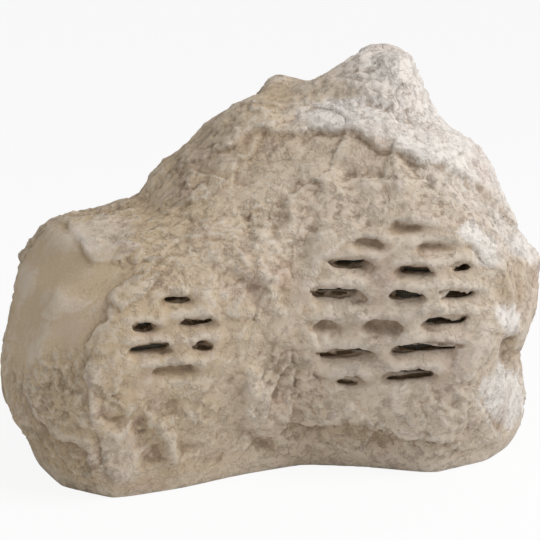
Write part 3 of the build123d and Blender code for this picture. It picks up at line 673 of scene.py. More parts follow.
FINISHES = (
    MadeFinish("screen_mesh", (122, 116, 92), (58, 54, 42), 0.62, 0.0, Pattern.WOVEN, 0.9, 0.3),
    MadeFinish("base_plastic", (66, 63, 58), (44, 42, 39), 0.58, 0.0, Pattern.MOULDED, 0.8, 0.08),
    MadeFinish("gasket_foam", (38, 38, 38), (20, 20, 20), 0.92, 0.0, Pattern.SPECKLED, 0.9, 0.2),
    MadeFinish("zinc_screw", (186, 188, 190), (138, 140, 144), 0.34, 1.0, Pattern.BRUSHED, 0.7, 0.03),
    MadeFinish("circuit_board", (28, 92, 58), (18, 66, 42), 0.42, 0.0, Pattern.MOULDED, 1.6, 0.03),
    MadeFinish("copper_wire", (196, 112, 62), (120, 60, 30), 0.32, 1.0, Pattern.WOUND, 0.9, 0.25),
    MadeFinish("capacitor_film", (206, 164, 44), (172, 130, 30), 0.4, 0.0, Pattern.MOULDED, 2.5, 0.05),
    MadeFinish("cement", (214, 210, 200), (176, 172, 162), 0.86, 0.0, Pattern.SPECKLED, 1.0, 0.1),
    MadeFinish("terminal_plastic", (34, 96, 66), (24, 70, 48), 0.5, 0.0, Pattern.MOULDED, 0.9, 0.05),
    MadeFinish("gland_plastic", (40, 40, 41), (26, 26, 27), 0.5, 0.0, Pattern.MOULDED, 0.7, 0.06),
    MadeFinish("gland_rubber", (30, 30, 30), (18, 18, 18), 0.8, 0.0, Pattern.MOULDED, 0.6, 0.06),
    MadeFinish("painted_steel", (36, 37, 39), (22, 22, 24), 0.46, 0.0, Pattern.MOULDED, 0.7, 0.06),
    MadeFinish("plated_steel", (168, 164, 148), (122, 118, 104), 0.38, 1.0, Pattern.BRUSHED, 0.8, 0.03),
    MadeFinish("ferrite", (52, 51, 52), (34, 33, 34), 0.66, 0.0, Pattern.SPECKLED, 1.2, 0.12),
    MadeFinish("roll_rubber", (30, 30, 31), (19, 19, 20), 0.7, 0.0, Pattern.MOULDED, 0.9, 0.05),
    MadeFinish("cone_plastic", (44, 44, 46), (28, 28, 30), 0.48, 0.0, Pattern.FIBROUS, 1.2, 0.08),
    MadeFinish("former_foil", (172, 120, 58), (126, 84, 40), 0.4, 0.0, Pattern.BRUSHED, 0.8, 0.03),
    MadeFinish("spider_cloth", (196, 152, 72), (142, 104, 44), 0.9, 0.0, Pattern.WOVEN, 0.8, 0.2),
    MadeFinish("fibre_strip", (104, 66, 40), (74, 46, 28), 0.7, 0.0, Pattern.FIBROUS, 0.9, 0.06),
    MadeFinish("faceplate_plastic", (38, 38, 40), (25, 25, 27), 0.52, 0.0, Pattern.MOULDED, 0.6, 0.06),
    MadeFinish("dome_film", (150, 146, 136), (112, 108, 100), 0.36, 0.0, Pattern.MOULDED, 0.9, 0.03),
)


@dataclass(frozen=True)
class StoneFinish:
    """Painted cast stone: a beige coat, a brown wash in the recesses that is partly painted shade, a pale dry
    brush on what stands out that is partly painted highlight, painted shade in the hollows, under the ledges
    and in the slits, and a coat painted paler where the light falls.
    """

    slot: str = "rock"
    coat: Tone = (203, 187, 169)
    coat_warm: Tone = (191, 171, 144)
    # Pale coat, used as painted light where the light falls.
    coat_pale: Tone = (228, 221, 214)
    coat_pink: Tone = (203, 181, 169)
    # The cast's brown wash, also used as painted shade in dents, hollows and pits.
    wash_and_shade: Tone = (142, 119, 98)
    # Brown painted shade under ledges, on the scoop floors and in the brown ovals.
    brown_shade: Tone = (150, 129, 101)
    # Near-black painted shade inside the slits and the deepest hollows.
    deep_shade: Tone = (92, 76, 54)
    # A pale dry brush, partly the cast's own and partly painted highlight on what stands out.
    dry_brush_and_highlight: Tone = (224, 216, 206)
    grain_dark: Range = (0.25, 0.22, 0.18, 1.0)
    grain_light: Range = (1.0, 0.98, 0.95, 1.0)
    grain_share: float = 0.16
    cloud_noise: Range = (14.0, 5.0, 0.62)
    patch_noise: Range = (26.0, 4.0, 0.6)
    speck_noise: Range = (420.0, 6.0, 0.72)
    crumb_noise: Range = (900.0, 3.0, 0.6)
    pit_noise: Range = (130.0, 7.0, 0.74)
    pit_group_noise: Range = (19.0, 3.0, 0.6)
    trowel_scales: Range = (24.0, 47.0)
    trowel_detail: Range = (6.0, 0.66)
    trowel_edge: Range = (0.49, 0.515)
    trowel_foot: float = 0.485
    trowel_line: Range = (0.014, 0.002)
    line_share: Range = (0.46, 0.66, 0.0, 0.28)
    warm_play: Range = (0.3, 0.7, -0.25, 0.25)
    warm_share: Range = (0.1, 0.9)
    pale_share: Range = (-0.2, -0.9)
    pink_share: Range = (0.52, 0.72, 0.0, 0.6)
    brush_and_highlight_play: Range = (0.3, 0.7, -0.22, 0.22)
    brush_and_highlight_share: Range = (0.1, 0.8, 0.0, 0.36)
    # How much of the wash goes into the dents, partly as painted shade.
    wash_and_shade_share: Range = (-0.2, -0.9, 0.0, 0.6)
    brown_shade_play: Range = (0.3, 0.7, -0.15, 0.15)
    brown_shade_share: Range = (0.1, 1.0, 0.0, 0.5)
    # How much painted shade the hollows take.
    hollow_share: Range = (0.45, 0.8, 0.0, 0.5)
    slit_play: Range = (0.3, 0.7, -0.12, 0.12)
    slit_share: Range = (0.5, 0.7)
    slit_hollow: Range = (0.3, 0.5)
    deep_share: Range = (0.74, 0.93)
    pit_share: Range = (0.47, 0.36, 0.0, 0.26)
    pit_group_share: Range = (0.4, 0.62, 0.35, 1.0)
    roughness: float = 0.88
    roughness_play: Range = (-0.1, 0.08)
    speck_range: Range = (0.2, 0.8)
    gloss: float = 0.25
    crumb_height: float = 0.5
    step_height: Range = (0.0, 1.0, 0.1, 0.8)
    pit_height: float = -6.0
    bump_strength: float = 0.7
    bump_depth: float = 0.0012

    def material(self) -> bpy.types.Material:
        """Build the finish as a material."""
        sketch = NodeSketch(self.slot)
        crusty = sketch.attribute("crusty")
        patches = sketch.noise(*self.patch_noise)
        specks = sketch.noise(*self.speck_noise)
        pits = self.pits(sketch, crusty)
        toned = self.coats(sketch, patches, specks)
        lined = sketch.math("MULTIPLY", self.trowel_lines(sketch, patches), crusty)
        toned = sketch.blend(lined, toned, colour(*self.wash_and_shade))
        # Brown in the pits of the crust: wash and painted shade.
        toned = sketch.blend(pits, toned, colour(*self.wash_and_shade))
        toned = self.recesses(sketch, patches, toned)
        grain = sketch.blend(specks, self.grain_dark, self.grain_light)
        toned = sketch.blend(self.grain_share, toned, grain, "OVERLAY")
        sketch.fill(sketch.shader.inputs["Base Color"], toned)
        low, high = (self.roughness + play for play in self.roughness_play)
        sketch.fill(sketch.shader.inputs["Roughness"], sketch.span(specks, *self.speck_range, low, high))
        sketch.shader.inputs["Specular IOR Level"].default_value = self.gloss
        crumbs = sketch.math("MULTIPLY", sketch.noise(*self.crumb_noise), self.crumb_height)
        steps = sketch.math("MULTIPLY", self.trowel_steps(sketch), sketch.span(crusty, *self.step_height))
        stepped = sketch.math("ADD", sketch.math("ADD", specks, crumbs), steps)
        pitted = sketch.math("MULTIPLY", pits, self.pit_height)
        sketch.bump(sketch.math("ADD", stepped, pitted), self.bump_strength, self.bump_depth)
        return sketch.material

    def coats(self, sketch: NodeSketch, patches: bpy.types.NodeSocket,
              specks: bpy.types.NodeSocket) -> bpy.types.NodeSocket:
        """The coat with its warm and pink places and its pale places of painted light, the dry brush on it that
        is partly painted highlight and the wash in its dents that is partly painted shade.

        Args:
            sketch: The material under way.
            patches: Clouds for the pink places.
            specks: Fine noise that frays the dry brush and the wash, with their painted highlight and shade.

        Returns:
            The colour so far.
        """
        clouds = sketch.noise(*self.cloud_noise)
        # The warmth value carries painted light: the coat turns pale where the light falls.
        warm = sketch.math("ADD", sketch.attribute("warmth"), sketch.span(clouds, *self.warm_play))
        coat = sketch.blend(sketch.span(warm, *self.warm_share), colour(*self.coat), colour(*self.coat_warm))
        coat = sketch.blend(sketch.span(warm, *self.pale_share), coat, colour(*self.coat_pale))
        coat = sketch.blend(sketch.span(patches, *self.pink_share), coat, colour(*self.coat_pink))
        # Dry brush on what stands out and wash in the dents: partly the cast's paint, partly painted highlight
        # and painted shade.
        ragged = sketch.math("ADD", sketch.attribute("relief"), sketch.span(specks, *self.brush_and_highlight_play))
        toned = sketch.blend(sketch.span(ragged, *self.brush_and_highlight_share), coat, colour(*self.dry_brush_and_highlight))
        return sketch.blend(sketch.span(ragged, *self.wash_and_shade_share), toned, colour(*self.wash_and_shade))

    def recesses(self, sketch: NodeSketch, patches: bpy.types.NodeSocket,
                 toned: bpy.types.NodeSocket) -> bpy.types.NodeSocket:
        """The brown painted shade under ledges and brows, the painted shade in hollows and the painted dark of
        the slits.

        Args:
            sketch: The material under way.
            patches: Clouds that fray the brown painted shade and the slits.
            toned: The colour so far.

        Returns:
            The colour with its recesses.
        """
        hollow = sketch.attribute("hollow")
        # Brown painted shade under ledges and brows.
        shaded_brown = sketch.math("ADD", sketch.attribute("brown"), sketch.span(patches, *self.brown_shade_play))
        toned = sketch.blend(sketch.span(shaded_brown, *self.brown_shade_share), toned, colour(*self.brown_shade))
        # Painted shade in the hollows, by how much the rock shuts them in.
        toned = sketch.blend(sketch.span(hollow, *self.hollow_share), toned, colour(*self.wash_and_shade))
        # Dark painted shade inside the slits.
        slit = sketch.math("ADD", sketch.attribute("slit"), sketch.span(patches, *self.slit_play))
        sunk = sketch.span(hollow, *self.slit_hollow)
        dark = sketch.math("MULTIPLY", sketch.span(slit, *self.slit_share), sunk)
        dark = sketch.math("MAXIMUM", dark, sketch.span(hollow, *self.deep_share))
        return sketch.blend(dark, toned, colour(*self.deep_shade))

    def pits(self, sketch: NodeSketch, crusty: bpy.types.NodeSocket) -> bpy.types.NodeSocket:
        """Share of brown wash and painted shade in the small ragged pits of the crust.

        Args:
            sketch: The material under way.
            crusty: 1 on crust to 0 on smooth stone.

        Returns:
            A value of 0 to about a quarter.
        """
        coarse = sketch.span(sketch.noise(*self.pit_noise), *self.pit_share)
        grouped = sketch.span(sketch.noise(*self.pit_group_noise), *self.pit_group_share)
        return sketch.math("MULTIPLY", sketch.math("MULTIPLY", coarse, grouped), crusty)

    def trowel_field(self, sketch: NodeSketch, scale: float) -> bpy.types.NodeSocket:
        """Ragged clouds whose contours are the edges of trowelled patches."""
        return sketch.noise(scale, *self.trowel_detail)

    def trowel_steps(self, sketch: NodeSketch) -> bpy.types.NodeSocket:
        """Small steps at the edges of the trowelled patches."""
        fields = (self.trowel_field(sketch, scale) for scale in self.trowel_scales)
        return sketch.math("ADD", *(sketch.span(clouds, *self.trowel_edge) for clouds in fields))

    def trowel_lines(self, sketch: NodeSketch, patches: bpy.types.NodeSocket) -> bpy.types.NodeSocket:
        """Share of brown wash that stays at the foot of the trowelled steps.

        Args:
            sketch: The material under way.
            patches: Clouds that break the lines up.

        Returns:
            A value of 0 to about a quarter.
        """
        lines = []
        for scale in self.trowel_scales:
            off = sketch.math("SUBTRACT", self.trowel_field(sketch, scale), self.trowel_foot)
            lines.append(sketch.span(sketch.math("ABSOLUTE", off, 0.0), *self.trowel_line))
        both = sketch.math("MAXIMUM", lines[0], lines[1])
        return sketch.math("MULTIPLY", both, sketch.span(patches, *self.line_share))


class MeshArrays:
    """A mesh's vertices, edges and normals as arrays."""

    def __init__(self, mesh: bpy.types.Mesh) -> None:
        """Read the places and edges of a mesh."""
        self.mesh = mesh
        self.places = np.zeros(len(mesh.vertices) * 3, np.float32)
        mesh.vertices.foreach_get("co", self.places)
        self.places = self.places.reshape(-1, 3).astype(float)
        self.edges = np.zeros(len(mesh.edges) * 2, np.int32)
        mesh.edges.foreach_get("vertices", self.edges)
        self.edges = self.edges.reshape(-1, 2)
        self.valence = np.bincount(self.edges.ravel(), minlength=len(self.places)).clip(1)

    def normals(self) -> np.ndarray:
        """Unit normals of the vertices."""
        found = np.zeros(len(self.places) * 3, np.float32)
        self.mesh.vertex_normals.foreach_get("vector", found)
        return found.reshape(-1, 3).astype(float)

    def blurred(self, values: np.ndarray, rounds: int) -> np.ndarray:
        """Values evened out along the edges.

        Args:
            values: One number or one row for each vertex.
            rounds: How many times each vertex takes half of its neighbours' mean.

        Returns:
            The evened values.
        """
        flat = values.reshape(len(self.places), -1).astype(float)
        first, second = self.edges[:, 0], self.edges[:, 1]
        for _ in range(rounds):
            columns = []
            for column in flat.T:
                total = np.bincount(first, column[second], len(flat))
                total = total + np.bincount(second, column[first], len(flat))
                columns.append(0.5 * column + 0.5 * total / self.valence)
            flat = np.stack(columns, axis=1)
        return flat.reshape(values.shape)

    def store(self, places: np.ndarray) -> None:
        """Write new places of the vertices."""
        self.places = places
        self.mesh.vertices.foreach_set("co", places.astype(np.float32).ravel())
        self.mesh.update()

    def attribute(self, name: str, values: np.ndarray) -> None:
        """Keep one value for each vertex under a name."""
        layer = self.mesh.attributes.new(name, "FLOAT", "POINT")
        layer.data.foreach_set("value", values.astype(np.float32))


ROCK_SWELLS = (
    Swell("lobe behind the left slope", (6.0, 66.0, 278.0), 16.0, 10.0),
    Swell("notch left of the peak", (40.0, 60.0, 290.0), 18.0, -6.5),
    Swell("left of the crown", (64.0, 44.0, 308.0), 14.0, -5.5),
    Swell("right of the crown", (106.0, 34.0, 312.0), 10.0, -2.5),
    Swell("dip on the left skyline", (-27.0, 56.0, 266.0), 17.0, -8.0),
    Swell("rise to the left shoulder", (-88.0, 28.0, 212.0), 22.0, 7.0),
    Swell("front of the right shoulder's hollow", (196.0, -6.0, 190.0), 20.0, -10.0),
    Swell("back of the right shoulder's hollow", (205.0, 30.0, 172.0), 23.0, -12.0),
    Swell("shoulder below that hollow", (212.0, 8.0, 148.0), 16.0, 6.0),
    Swell("bulge of the right side", (212.0, 30.0, 120.0), 40.0, 5.0),
    Swell("waist of the right side", (208.0, -6.0, 78.0), 14.0, -5.5),
    Swell("bulge of the right foot", (194.0, -24.0, 20.0), 36.0, 8.0),
    Swell("bulge of the left side", (-206.0, -45.0, 78.0), 30.0, 5.0),
    Swell("undercut of the left foot", (-199.0, -65.0, 30.0), 18.0, -5.0),
    Swell("flat of the left shoulder", (-138.0, 30.0, 190.0), 34.0, -5.0),
    Swell("corner of the left shoulder", (-183.0, 20.0, 168.0), 24.0, 9.0),
)
# Ovals of painted light and shade: the pale ones are painted highlights, the brown ones painted shade.
PAINT_FIELDS = (
    ChartOval("pale shelf", (350.0, 119.0), (52.0, 20.0), -1.1),
    ChartOval("pale band right of the peak", (440.0, 140.0), (40.0, 22.0), -0.5),
    ChartOval("upper pale patch at the right", (472.0, 232.0), (15.0, 11.0), -1.1),
    ChartOval("middle pale patch at the right", (488.0, 251.0), (12.0, 12.0), -1.1),
    ChartOval("pale edge of the right shoulder", (528.0, 240.0), (12.0, 20.0), -0.8),
    ChartOval("streaked patch at the right", (512.0, 316.0), (14.0, 20.0), -1.0),
    ChartOval("pale patch over the right foot", (503.0, 394.0), (23.0, 32.0), -1.3),
    ChartOval("brown facet at the right", (514.0, 282.0), (22.0, 20.0), 0.5, 0.6),
    ChartOval("brown notch at the right", (514.0, 356.0), (8.0, 18.0), 0.5, 0.6),
    ChartOval("brown under the knob", (330.0, 92.0), (26.0, 12.0), 0.2, 0.25),
    ChartOval("brown left of the peak", (276.0, 96.0), (20.0, 14.0), 0.4, 0.25),
    ChartOval("pale top of the left shoulder", (98.0, 234.0), (34.0, 13.0), -1.2),
    ChartOval("pale wedge under the tweeter", (120.0, 455.0), (22.0, 26.0), -0.7),
    ChartOval("pale wedge left of the woofer", (262.0, 398.0), (14.0, 22.0), -0.6),
    ChartOval("brown of the lower left", (62.0, 436.0), (30.0, 24.0), 0.4, 0.3),
    ChartOval("brown under the louvres", (352.0, 436.0), (30.0, 12.0), 0.2, 0.3),
)
LOUVRE_FIELDS = (
    ChartOval("woofer louvres", (392.0, 312.0), (96.0, 90.0)),
    ChartOval("tweeter louvres", (172.0, 340.0), (60.0, 44.0)),
)
LOUVRES = (
    Louvre("woofer top scoop", (388, 432, 228)),
    Louvre("woofer left scoop", (346, 386, 244)),
    Louvre("woofer right scoop", (412, 472, 246)),
    Louvre("first row left", (326, 374, 260), (330, 262, 362, 266)),
    Louvre("first row middle", (396, 436, 268), (402, 270, 430, 268)),
    Louvre("first row right", (450, 474, 266), (452, 267, 470, 267)),
    Louvre("second row left", (306, 362, 291), (312, 293, 348, 293)),
    Louvre("second row middle", (388, 424, 293), (390, 295, 412, 295)),
    Louvre("second row right", (440, 480, 291), (442, 294, 470, 291)),
    Louvre("third row right", (424, 472, 315), (434, 321, 466, 318)),
    Louvre("third row middle", (357, 406, 322)),
    Louvre("third row left", (311, 343, 325)),
    Louvre("fourth row left", (316, 376, 352), (318, 355, 360, 351)),
    Louvre("fourth row right", (388, 463, 345), (394, 349, 462, 345)),
    Louvre("fifth row left", (334, 366, 379), (336, 381, 356, 382)),
    Louvre("fifth row right", (384, 440, 374), (388, 378, 432, 374)),
    Louvre("tweeter top", (157, 200, 299), (165, 300, 188, 300)),
    Louvre("tweeter second row left", (131, 160, 326), (134, 327, 150, 326)),
    Louvre("tweeter second row right", (175, 215, 320), (180, 323, 210, 321)),
    Louvre("tweeter third row left", (128, 172, 345), (136, 348, 168, 345)),
    Louvre("tweeter third row right", (188, 214, 345), (192, 347, 211, 347)),
    Louvre("tweeter bottom", (147, 202, 368)),
)
ROCK_RELIEF = (
    ridge("groove under the knob", 17, -7.0, (290, 112), (318, 103), (350, 101), (384, 105), (412, 118)),
    ledge("main brow", 22, 3.2, 4.4, (238, 140), (258, 131), (280, 133), (311, 130), (343, 134), (360, 141),
          (394, 153), (424, 159), (462, 172), (487, 189), (504, 207), lip=4.5),
    ledge("left shelf edge", 9, 1.4, 2.2, (188, 206), (199, 201), (213, 192), (230, 171), (242, 159),
          (253, 155), (265, 133), (282, 122), (310, 106)),
    ledge("flake over the left rise", 9, 1.6, 2.4, (251, 211), (265, 208), (274, 200), (283, 192),
          (297, 178), (311, 180)),
    ridge("left drip groove", 6, -2.2, (245, 213), (246, 234)),
    ridge("right drip groove", 6, -2.2, (274, 213), (275, 234)),
    ridge("rib by the drips", 8, 3.0, (288, 195), (294, 222)),
    ledge("edge of the left shoulder", 10, 1.8, 2.4, (69, 232), (83, 244), (86, 256), (100, 260), (119, 261),
          (135, 250)),
    ridge("crown of the left shoulder", 26, 2.5, (82, 228), (128, 236)),
    ridge("dent of the left face", 30, -2.0, (50, 270), (85, 300)),
    ledge("edge of the smooth face", 8, 1.2, 1.8, (131, 276), (120, 280), (107, 297), (103, 323), (84, 339),
          (90, 354), (83, 372), (86, 404)),
    ledge("step over the tweeter", 9, 1.6, 2.6, (158, 263), (172, 249), (177, 244), (207, 239), (217, 239)),
    ridge("rib right of the tweeter", 9, 4.0, (215, 256), (224, 257), (250, 265), (270, 276)),
    ridge("rib down to the middle", 9, 3.0, (262, 280), (274, 305), (288, 330)),
    ridge("trough right of the tweeter", 12, -3.4, (222, 276), (245, 292), (258, 312)),
    ledge("step in the middle", 8, 1.4, 2.4, (234, 316), (251, 319), (267, 331), (280, 345)),
    ridge("trough left of the woofer", 16, -4.0, (300, 225), (292, 270), (286, 300)),
    ridge("groove beside the tweeter", 8, -2.0, (215, 313), (226, 328), (232, 345)),
    ledge("overhang of the lower left", 18, 2.6, 5.5, (42, 419), (52, 432), (69, 440), (84, 451), (88, 466),
          (94, 487)),
    ridge("first lower left crest", 6, 3.0, (93, 421), (103, 427), (112, 434)),
    ridge("dent over that crest", 8, -3.0, (104, 416), (121, 421)),
    ridge("second lower left crest", 7, 3.0, (134, 404), (127, 430), (110, 447)),
    ridge("pit under the tweeter", 11, -6.0, (141, 424), (150, 452)),
    ridge("crest right of the pit", 7, 3.6, (151, 419), (165, 440), (172, 456)),
    ridge("dent under the louvres", 9, -3.2, (157, 394), (170, 408)),
    ridge("swelling under the tweeter", 14, 2.4, (182, 398), (190, 436)),
    ridge("rib of the middle foot", 10, 4.0, (252, 374), (254, 400), (258, 424)),
    ridge("hollow of the middle foot", 16, -5.0, (258, 444), (262, 452)),
    ridge("hollow left of the woofer", 17, -6.0, (280, 370), (282, 404)),
    ridge("crest in that hollow", 6, 3.6, (262, 392), (271, 410), (280, 417)),
    ledge("edge of that hollow", 8, 2.0, 1.6, (292, 412), (296, 389), (294, 372)),
    ledge("step under the woofer", 16, 2.0, 4.5, (296, 423), (319, 425), (346, 423), (371, 426), (389, 437),
          (453, 446)),
    ridge("trough under the woofer", 13, -4.0, (345, 434), (372, 444)),
    ledge("step of the right foot", 13, 3.5, 3.0, (494, 428), (481, 412), (476, 401), (480, 389), (492, 366),
          (499, 344)),
    ridge("notch of the right side", 9, -6.0, (516, 346), (515, 362), (518, 378)),
    ridge("rib of the right facet", 9, 4.0, (497, 262), (508, 290), (505, 322)),
    ridge("groove of the right facet", 8, -3.0, (512, 265), (522, 282)),
    ledge("rim of the woofer field", 16, 1.0, 1.8, (318, 338), (305, 318), (318, 278), (332, 256),
          (356, 234), (371, 223), (389, 220), (430, 223), (462, 238), (482, 256)),
    ridge("rib under the brow", 7, 3.4, (394, 160), (396, 188)),
    ridge("groove right of that rib", 8, -2.6, (412, 164), (424, 186)),
    ridge("groove over the woofer", 8, -2.6, (350, 180), (372, 176), (384, 196)),
    ridge("rib left of the groove", 9, 2.6, (330, 176), (338, 206)),
    ridge("rib of the upper right", 10, 2.4, (440, 190), (470, 214), (486, 240)),
    ridge("knob", 24, 5.0, (366, 66), (396, 64)),
)


@dataclass
class RockCasting:
    """The cast boulder: its packed form softened, then sculpted and painted.

    Sizes are in millimetres, and fields on the chart in chart units. The core, under, front and back limits and
    the two fades of the vertex groups are in metres.
    """

    view: Viewpoint
    voxel: float = 1.5
    triangles: int = 192_000
    core_across: Range = (-0.11, 0.09)
    core_deep: Range = (-0.02, 0.04)
    core_height: float = 0.10
    core_rise: float = 0.8
    under_tilt: float = -0.85
    under_height: float = 0.02
    weight_steps: int = 16
    smooth_factor: float = 0.5
    form_rounds: int = 160
    foot_rounds: int = 420
    floor_rounds: int = 12
    brow_rounds: int = 3
    front_depth: float = 0.02
    form_fade: Range = (0.004, 0.016)
    foot_fade: Range = (0.012, 0.030)
    skin_blur: int = 3
    rim_blur: int = 14
    rim_gain: float = 2.5
    tilt_blur: int = 2
    floor_tilt: Range = (-0.25, 0.1)
    rim_height: float = 9.0
    rim_fade: float = 14.0
    normal_blur: int = 6
    wall_follow: tuple[float, float] = (6.5, 13.0)
    facing_range: Range = (0.0, 0.35)
    bend: Layer = Layer(40.0, 7.0, 11)
    fray: Layer = Layer(11.0, 4.0, 17)
    lumps: Layer = Layer(85.0, 3.0, 23)
    broken: Layer = Layer(56.0, 2.0, 31)
    chips: Layer = Layer(25.0, 1.1, 37)
    patches: Layer = Layer(44.0, 1.0, 41)
    small_patches: Layer = Layer(19.0, 0.45, 43)
    crust_height: float = 1.3
    crust_steps: Range = (2.6, 0.12)
    flakes: Layer = Layer(13.0, 1.0, 47)
    flake_height: float = 0.95
    flake_steps: Range = (2.0, 0.1)
    flake_share: Range = (0.3, 0.7)
    crumbs: Layer = Layer(6.0, 1.0, 53)
    crumb_height: Range = (0.35, 0.75)
    drips: Layer = Layer(7.0, 0.9, 61)
    drip_stretch: Range = (1.0, 1.0, 0.3)
    rough: Layer = Layer(52.0, 1.0, 67)
    rough_range: Range = (-0.1, 0.35)
    drawn: Layer = Layer(34.0, 0.7, 89)
    drawn_share: float = 0.8
    stray_layers: tuple[tuple[float, float], ...] = ((46.0, 5.0), (19.0, 3.4), (8.0, 2.4), (4.0, 1.2))
    stray_seeds: tuple[int, int] = (71, 81)
    brow_stray: float = 0.35
    louvre_calm: float = 0.3
    louvre_still: float = 0.8
    floor_calm: float = 0.7
    face_calm: float = 0.88
    face_still: float = 0.85
    smooth_face: tuple[float, float, float] = (-160.0, -82.0, 142.0)
    smooth_radius: float = 66.0
    smooth_edge: Range = (0.7, 1.15)
    smooth_warp: Layer = Layer(30.0, 9.0, 97)
    fine_blur: int = 3
    broad_blur: int = 22
    fine_relief: float = 0.6
    broad_relief: float = 3.0
    fine_share: float = 0.6
    broad_share: float = 0.4
    paint_facing: Range = (0.02, 0.4)
    paint_stray: float = 1.4
    paint_edge: float = 0.4
    # The coat is paler towards the upper right as painted light, and warmer to the left, partly the stone's own
    # tone.
    warm_across: Range = (60.0, 420.0)
    lit_corner: Range = (200.0, 340.0)
    ledge_stray: float = 0.6
    # The next two values set how brown the painted shade is under ledges and on the scoop floors.
    ledge_drop: float = 7.0
    scoop_shade: float = 0.75
    crust_loss: float = 0.85
    louvre_back: float = -0.02
    # Short rays that measure how shut in each vertex is, for the painted shade in hollows and slits.
    shade_rays: int = 8
    shade_lean: tuple[float, float] = (0.4, 1.0)
    shade_reach: float = 24.0
    shade_lift: float = 0.5
    upright: float = 0.8
    louvre_fields: tuple[ChartOval, ...] = LOUVRE_FIELDS
    paint_fields: tuple[ChartOval, ...] = PAINT_FIELDS
    swells: tuple[Swell, ...] = ROCK_SWELLS
    relief_lines: tuple[ReliefLine, ...] = ROCK_RELIEF
    louvres: tuple[Louvre, ...] = LOUVRES

    def __post_init__(self) -> None:
        """Draw the lines of the louvres, and log what the rock is sculpted from."""
        self.brow_lines = tuple(louvre.brow_line() for louvre in self.louvres)
        self.slit_lines = tuple(louvre.slit_line() for louvre in self.louvres if louvre.slit)
        self.floor_lines = tuple(louvre.floor_line() for louvre in self.louvres)
        self.skin = np.zeros(0, bool)
        for shape in (*self.swells, *self.relief_lines, *self.louvres, *self.paint_fields):
            LOG.debug("sculpting %s", shape.name)

    def build(self) -> bpy.types.Object:
        """Make the casting.

        Returns:
            The finished piece.
        """
        piece = copy_of_node("rock_shell", "rock_casting")
        apply_modifier(piece, "REMESH", mode="VOXEL", voxel_size=self.voxel * MM, adaptivity=0.0)
        self.soften(piece)
        self.sculpt(piece)
        count = sum(len(face.vertices) - 2 for face in piece.data.polygons)
        apply_modifier(piece, "DECIMATE", decimate_type="COLLAPSE", ratio=self.triangles / count,
                       use_collapse_triangulate=True)
        self.mark(piece)
        make_active(piece)
        bpy.ops.object.shade_smooth()
        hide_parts("rock_shell")
        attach(piece, Body.ENCLOSURE.value)
        piece.data.materials.append(StoneFinish().material())
        return piece

    def outside(self, piece: bpy.types.Object, arrays: MeshArrays) -> np.ndarray:
        """Tell the outer skin from the inner walls.

        Args:
            piece: The casting.
            arrays: Its mesh as arrays.

        Returns:
            1 for each vertex of the skin, else 0.
        """
        tree = BVHTree.FromObject(piece, bpy.context.evaluated_depsgraph_get())
        places, normals = arrays.places, arrays.normals()
        higher = np.maximum(places[:, 2] - self.core_height, 0.0)
        axis = np.stack([
            np.clip(places[:, 0], *self.core_across),
            np.clip(places[:, 1], *self.core_deep),
            np.minimum(places[:, 2], self.core_height + self.core_rise * higher),
        ], axis=1)
        away = places - axis
        away /= np.linalg.norm(away, axis=1)[:, None].clip(TINY)
        starts = places + normals * MM
        found = np.zeros(len(places))
        for index, (start, way) in enumerate(zip(starts.tolist(), away.tolist())):
            if tree.ray_cast(start, way)[0] is None:
                found[index] = 1.0
        found[(normals[:, 2] < self.under_tilt) & (places[:, 2] < self.under_height)] = 0.0
        return found

    @staticmethod
    def field_share(chart: np.ndarray, fields: tuple[ChartOval, ...]) -> np.ndarray:
        """How far chart places lie in any of the ovals: 1 in the middle, 0 outside."""
        return np.max([oval.share(chart) for oval in fields], axis=0)

    def weigh(self, piece: bpy.types.Object, name: str, weights: np.ndarray) -> None:
        """Store weights in a vertex group, in even steps."""
        group = piece.vertex_groups.new(name=name)
        steps = np.round(weights * self.weight_steps).astype(int)
        for step in range(1, self.weight_steps + 1):
            chosen = np.nonzero(steps == step)[0]
            if len(chosen):
                group.add(chosen.tolist(), step / self.weight_steps, "REPLACE")

    def soften(self, piece: bpy.types.Object) -> None:
        """Round off the facets of the form, less so round the louvres."""
        arrays = MeshArrays(piece.data)
        skin = self.outside(piece, arrays)
        self.skin = skin > 0.5
        places = arrays.places
        front = places[:, 1] < self.front_depth
        louvred = self.field_share(self.view.chart(places), self.louvre_fields) * front
        above = smooth_steps(places[:, 2], *self.form_fade)
        low = 1.0 - smooth_steps(places[:, 2], *self.foot_fade)
        near = arrays.blurred(skin, self.skin_blur)
        rim = np.clip(self.rim_gain * arrays.blurred(skin, self.rim_blur), 0.0, 1.0)
        upward = smooth_steps(arrays.blurred(arrays.normals(), self.tilt_blur)[:, 2], *self.floor_tilt)
        groups = (
            ("form", self.form_rounds, near * (1.0 - louvred) * above),
            ("foot", self.foot_rounds, rim * low),
            ("floors", self.floor_rounds, near * louvred * upward),
            ("brows", self.brow_rounds, near * louvred * (1.0 - upward)),
        )
        for name, _, weights in groups:
            self.weigh(piece, name, weights)
        for name, rounds, _ in groups:
            apply_modifier(piece, "SMOOTH", factor=self.smooth_factor, iterations=rounds, vertex_group=name,
                           use_z=name != "foot")
        piece.vertex_groups.clear()

